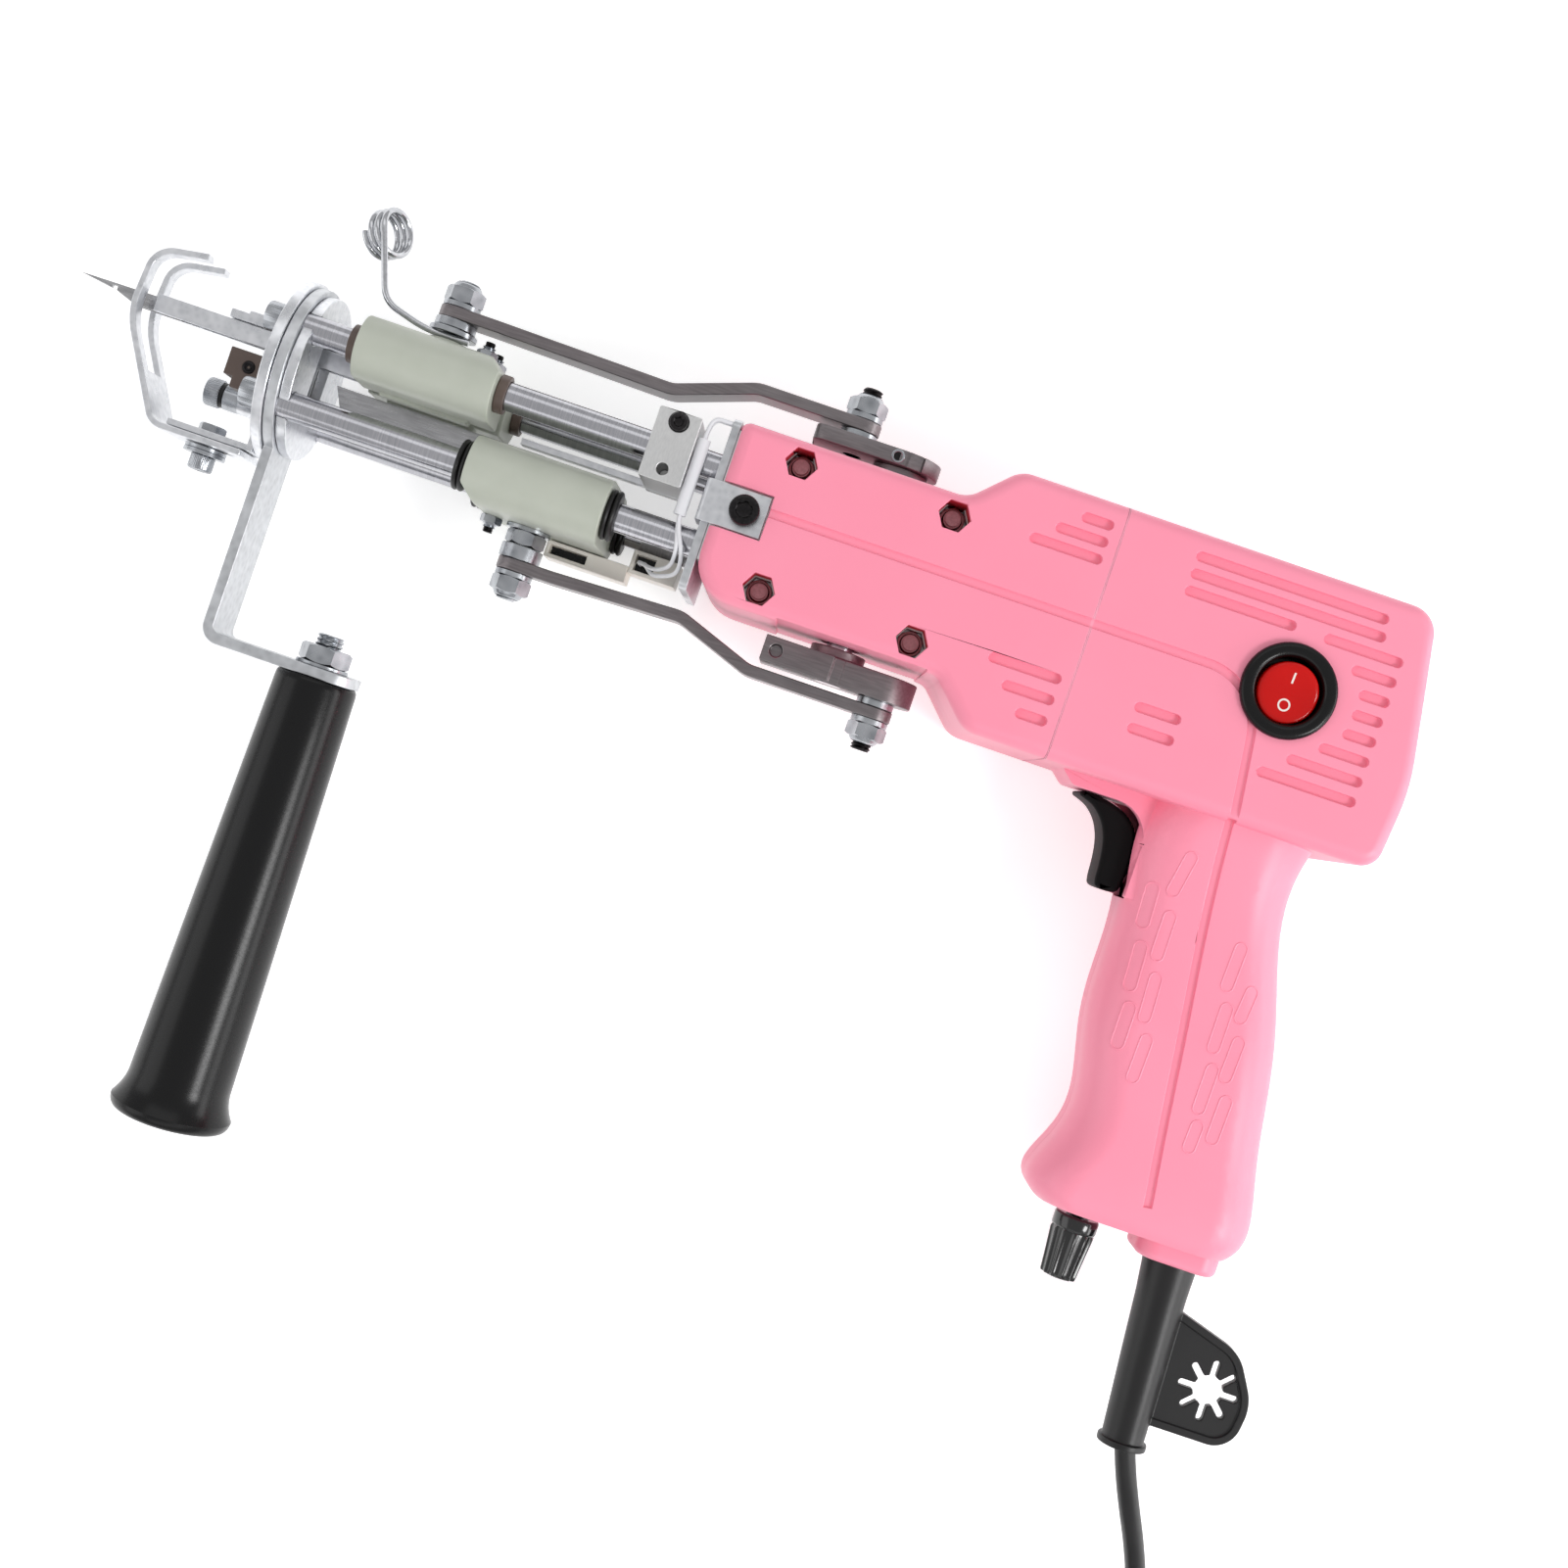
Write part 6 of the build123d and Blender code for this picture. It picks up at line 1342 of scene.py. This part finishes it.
knob_grid = turned(knob_rim + knob_side + knob_end, spot(knob_x, knob_y), (0, -1, 0), 192, knob_ribs)
axle_grid = rod(spot(knob_x, knob_y + 0.1), (0, 1, 0), 2.0, 8.0)
knob = built("speed_knob_ribbed", [(knob_grid, False), axle_grid], gloss_black)
stand_for(knob, "speed_knob")
print("ribs on the knob:", ribs)

# %% [markdown]
# ## Sleeve and wires
# Two white wires leave the head, run through a soft sleeve that lies over them, and end in a
# connector. Each wire is a tube along a smooth path with round bends.

# %% Sleeve and wires
sleeve_radius = 1.75
sleeve_x = -53.1
guide_rod_radius = 4.0
sleeve_z = rod_z + guide_rod_radius + sleeve_radius + 0.3
wire_half = 0.6
plug_in_x = -61.5
plug_in_y = -18.7

sleeve_path = np.stack([spot(sleeve_x, y, sleeve_z) for y in np.linspace(-5.4, 16.2, 24)])
sleeve_tube = tube(sleeve_path, sleeve_radius, (0, 0, 1), 32)
stand_for(built("wire_sleeve_soft", [sleeve_tube], white_wire), "wire_sleeve")
wires = []
for aside in (-0.9, 0.9):
    places = [
        spot(-47.15, 22.6, sleeve_z + aside),
        spot(sleeve_x, 22.6, sleeve_z + aside),
        spot(sleeve_x, -7.0, sleeve_z + aside * 0.5),
        spot(-49.8 + 1.2 * aside, -15.0 - aside, 23.0),
        spot(-50.0 + 1.2 * aside, -20.0 - aside, 19.0),
        spot(-56.0, -21.6 - aside, 9.0),
        spot(plug_in_x + aside, plug_in_y, -2.85),
        spot(plug_in_x + aside, plug_in_y, -12.45),
    ]
    wires.append(tube(rounded_path(places, 5.0, 12), wire_half, (0.0, 0.31, 0.95), 12))
stand_for(built("connector_wires_smooth", wires, white_wire), "connector_wires")
print("wires built:", len(wires))

# %% [markdown]
# ## Connectors
# The two ivory shells plug into each other. The floor of each mouth is painted black, a painted
# shade for the dark inside the mouth.

# %% Connectors
mouth_floor = -10.0
shells = np.array(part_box("connectors")) / MM
print("connectors from", np.round(shells[0], 1), "to", np.round(shells[1], 1))


def painted_shade_in_mouth(at, normal):
    """Faces that look up at the bottom of a mouth, which are painted black as shade."""
    return normal.z > 0.5 and at.z < mouth_floor


# The mouths' floors take the black finish as painted shade.
softened("connectors", 0.3, ivory, black, painted_shade_in_mouth)

# %% [markdown]
# ## Marks on the grip
# The grip carries fourteen raised outlines of a long capsule that keep the hand from slipping. Each
# is a thin bead laid on the surface: points around the capsule drop straight down onto the solid
# model's housing, and a round section runs along them, sunk a little into it.

# %% Grip marks
capsule_radius = 1.75
bead_radius = 0.26
bead_sunk = 0.06
above_grip = 60.0

skin_mesh = nodes["housing_left"].data
skin_points = [v.co for v in skin_mesh.vertices]
skin_tree = BVHTree.FromPolygons(skin_points, [p.vertices for p in skin_mesh.polygons])


def dropped(place):
    """The place on the housing straight below a point of the drawing."""
    return skin_tree.ray_cast(Vector(spot(*place, above_grip)), Vector((0, 0, -1)))[0]


def hoop(path, radius, sides=10):
    """A round bead along a closed path, where each section is P + radius * (cos t * n + sin t * b),
    with b level and n square to it."""
    way = np.roll(path, -1, axis=0) - np.roll(path, 1, axis=0)
    return around(path, way, (0.0, 0.0, 1.0), radius, sides), True


beads = []
for x1, y1, x2, y2 in [
    (109.5, -46.8, 107.6, -60.2), (102.5, -58.0, 103.3, -71.1), (109.4, -63.9, 109.5, -78.3),
    (104.7, -74.3, 105.3, -88.6), (111.1, -81.2, 111.7, -95.5), (107.0, -91.1, 107.1, -104.7),
    (114.2, -98.0, 113.9, -112.1), (130.8, -65.9, 130.3, -80.1), (132.3, -82.8, 132.2, -97.3),
    (137.6, -76.4, 136.5, -87.3), (133.9, -99.8, 133.8, -114.4), (138.4, -90.6, 137.9, -103.9),
    (135.1, -115.9, 134.7, -125.4), (140.3, -107.0, 140.0, -121.1),
]:
    top = np.array([x1, y1])
    low = np.array([x2, y2])
    along = (low - top) / np.linalg.norm(low - top)
    aside = np.array([-along[1], along[0]])
    half_turn = np.radians(np.linspace(0, 180, 9))[:, None]
    straight = np.linspace(0, 1, 8)[1:-1, None]
    cap = capsule_radius * (aside * np.cos(half_turn) + along * np.sin(half_turn))
    cap_top = top + along * capsule_radius - cap
    cap_low = low - along * capsule_radius + cap
    right_side = cap_top[-1] + (cap_low[0] - cap_top[-1]) * straight
    left_side = cap_low[-1] + (cap_top[0] - cap_low[-1]) * straight
    flat_path = np.concatenate([cap_top, right_side, cap_low, left_side])
    path = np.array([dropped(place) for place in flat_path])
    beads.append(hoop(path - [0, 0, bead_sunk * MM], bead_radius))
grip_marks = built("grip_marks", beads, pink)
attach(grip_marks, nodes["housing_left"]["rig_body"])
print("grip marks:", len(beads))

# %% [markdown]
# ## Mains cord
# The cord is about two metres of 6 mm rubber cable. It leaves the boot, sags to the table and
# runs out of the picture. The length that the photograph does not show lies coiled just outside
# it: five turns inward, a step up, and four turns out again, and then the plug beside it.
# Its line is one NURBS curve through the same route that the solid model follows.

# %% Mains cord
cord_radius = 3.0
lying_z = cord_radius - MID_PLANE
widest_turn = 92.0
turn_step = 6.5
turn_count = 10
lead = 40.1

route = np.stack([spot(*p) for p in [
    (148.6, -209.0, 0.0), (151.6, -217.0, -1.2), (157.1, -228.0, -5.0), (165.0, -241.5, -13.2),
    (172.5, -257.0, -21.5), (181.5, -276.0, lying_z), (189.3, -293.2, lying_z), (196.2, -309.2, lying_z)]])
heading = (route[-1] - route[-2]) / np.linalg.norm(route[-1] - route[-2])
across = np.array([heading[1], -heading[0], 0.0])
inward = [widest_turn - turn_step * i for i in range(turn_count)]
place = route[-1]
ahead = heading
turns = []
half = np.linspace(0, np.pi, 9)[1:, None]
for i, diameter in enumerate(inward + inward[-2:0:-1]):
    steps_up = i == turn_count - 1
    climb = np.array([0, 0, turn_step * MM * steps_up])
    goal = place + across * diameter * MM + climb
    centre = (place + goal) / 2
    reach = (goal - place) / 2
    turns.append(centre - reach * np.cos(half) + ahead * diameter / 2 * MM * np.sin(half))
    place = goal
    across = -across
    ahead = -ahead
lead_out = np.stack([place + ahead * d * MM for d in (12.0, 26.0, lead - 0.05)])
cord_points = np.concatenate([route, *turns, lead_out])
curve = bpy.data.curves.new("mains_cord", "CURVE")
curve.dimensions = "3D"
curve.bevel_depth = cord_radius * MM
curve.bevel_resolution = 5
curve.resolution_u = 6
line = curve.splines.new("NURBS")
line.points.add(len(cord_points) - 1)
line.points.foreach_set("co", np.concatenate([cord_points, np.ones((len(cord_points), 1))], axis=1).ravel())
line.order_u = 3
line.use_endpoint_u = True
curve.materials.append(rubber.material)
mains_cord = bpy.data.objects.new("mains_cord", curve)
scene.collection.objects.link(mains_cord)
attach(mains_cord, "machine")
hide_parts("cord", "cord_coil")
print("cord points:", len(cord_points))

# %% [markdown]
# ## Plug
# The plug is moulded onto the cord's end. Its section is a superellipse, |x / w| ^ n + |z / h| ^ n = 1,
# whose half width w and half height h change along the plug: a thin sleeve on the cord that keeps it
# from kinking, a waist for the fingers, and the broad body with two round pins.

# %% Plug
plug_start = place + ahead * lead * MM
sideways = np.array([-ahead[1], ahead[0], 0.0])
plug_length = 41.0
plug_rows = np.array([
    [-24.0, 3.1, 3.1, 2.0], [-23.6, 3.6, 3.6, 2.0], [-12.0, 4.3, 4.3, 2.0], [-2.0, 5.0, 5.0, 2.0],
    [0.0, 5.6, 5.6, 2.2], [0.8, 7.0, 7.6, 2.6], [2.4, 7.8, 8.8, 2.8], [12.0, 7.9, 9.3, 3.0],
    [20.0, 8.0, 9.4, 3.0], [23.0, 9.5, 9.4, 3.4], [25.2, 13.6, 9.4, 3.8], [27.4, 16.4, 9.4, 4.2],
    [30.0, 17.4, 9.4, 4.6], [38.0, 17.4, 9.4, 4.6], [39.8, 17.1, 9.1, 4.6], [40.7, 16.2, 8.4, 4.4],
    [plug_length, 14.6, 7.2, 4.2]])
d, w, h, n = plug_rows.T[:, :, None]
angle = np.linspace(0, 2 * np.pi, 72, endpoint=False)[None, :]
out = np.sign(np.cos(angle)) * np.abs(np.cos(angle)) ** (2 / n) * w
rise = np.sign(np.sin(angle)) * np.abs(np.sin(angle)) ** (2 / n) * h
upward = np.array([0.0, 0.0, 1.0])
section = sideways * out[..., None] + upward * rise[..., None]
body = capped(plug_start + MM * (ahead * d[..., None] + section))
pin_rows = [[0, 0], [0, 2.4], [17.6, 2.4], [18.4, 2.15], [18.9, 1.5], [19.0, 0]]
pins = []
for offset in (-9.5, 9.5):
    pin_start = plug_start + MM * (ahead * plug_length + sideways * offset)
    pins.append((turned(pin_rows, pin_start, ahead, 32), False, bolt_zinc))
plug = built("plug_moulded", [(body, False)] + pins, rubber)
stand_for(plug, "plug")
print("plug's width", 2 * plug_rows[:, 1].max(), "mm")
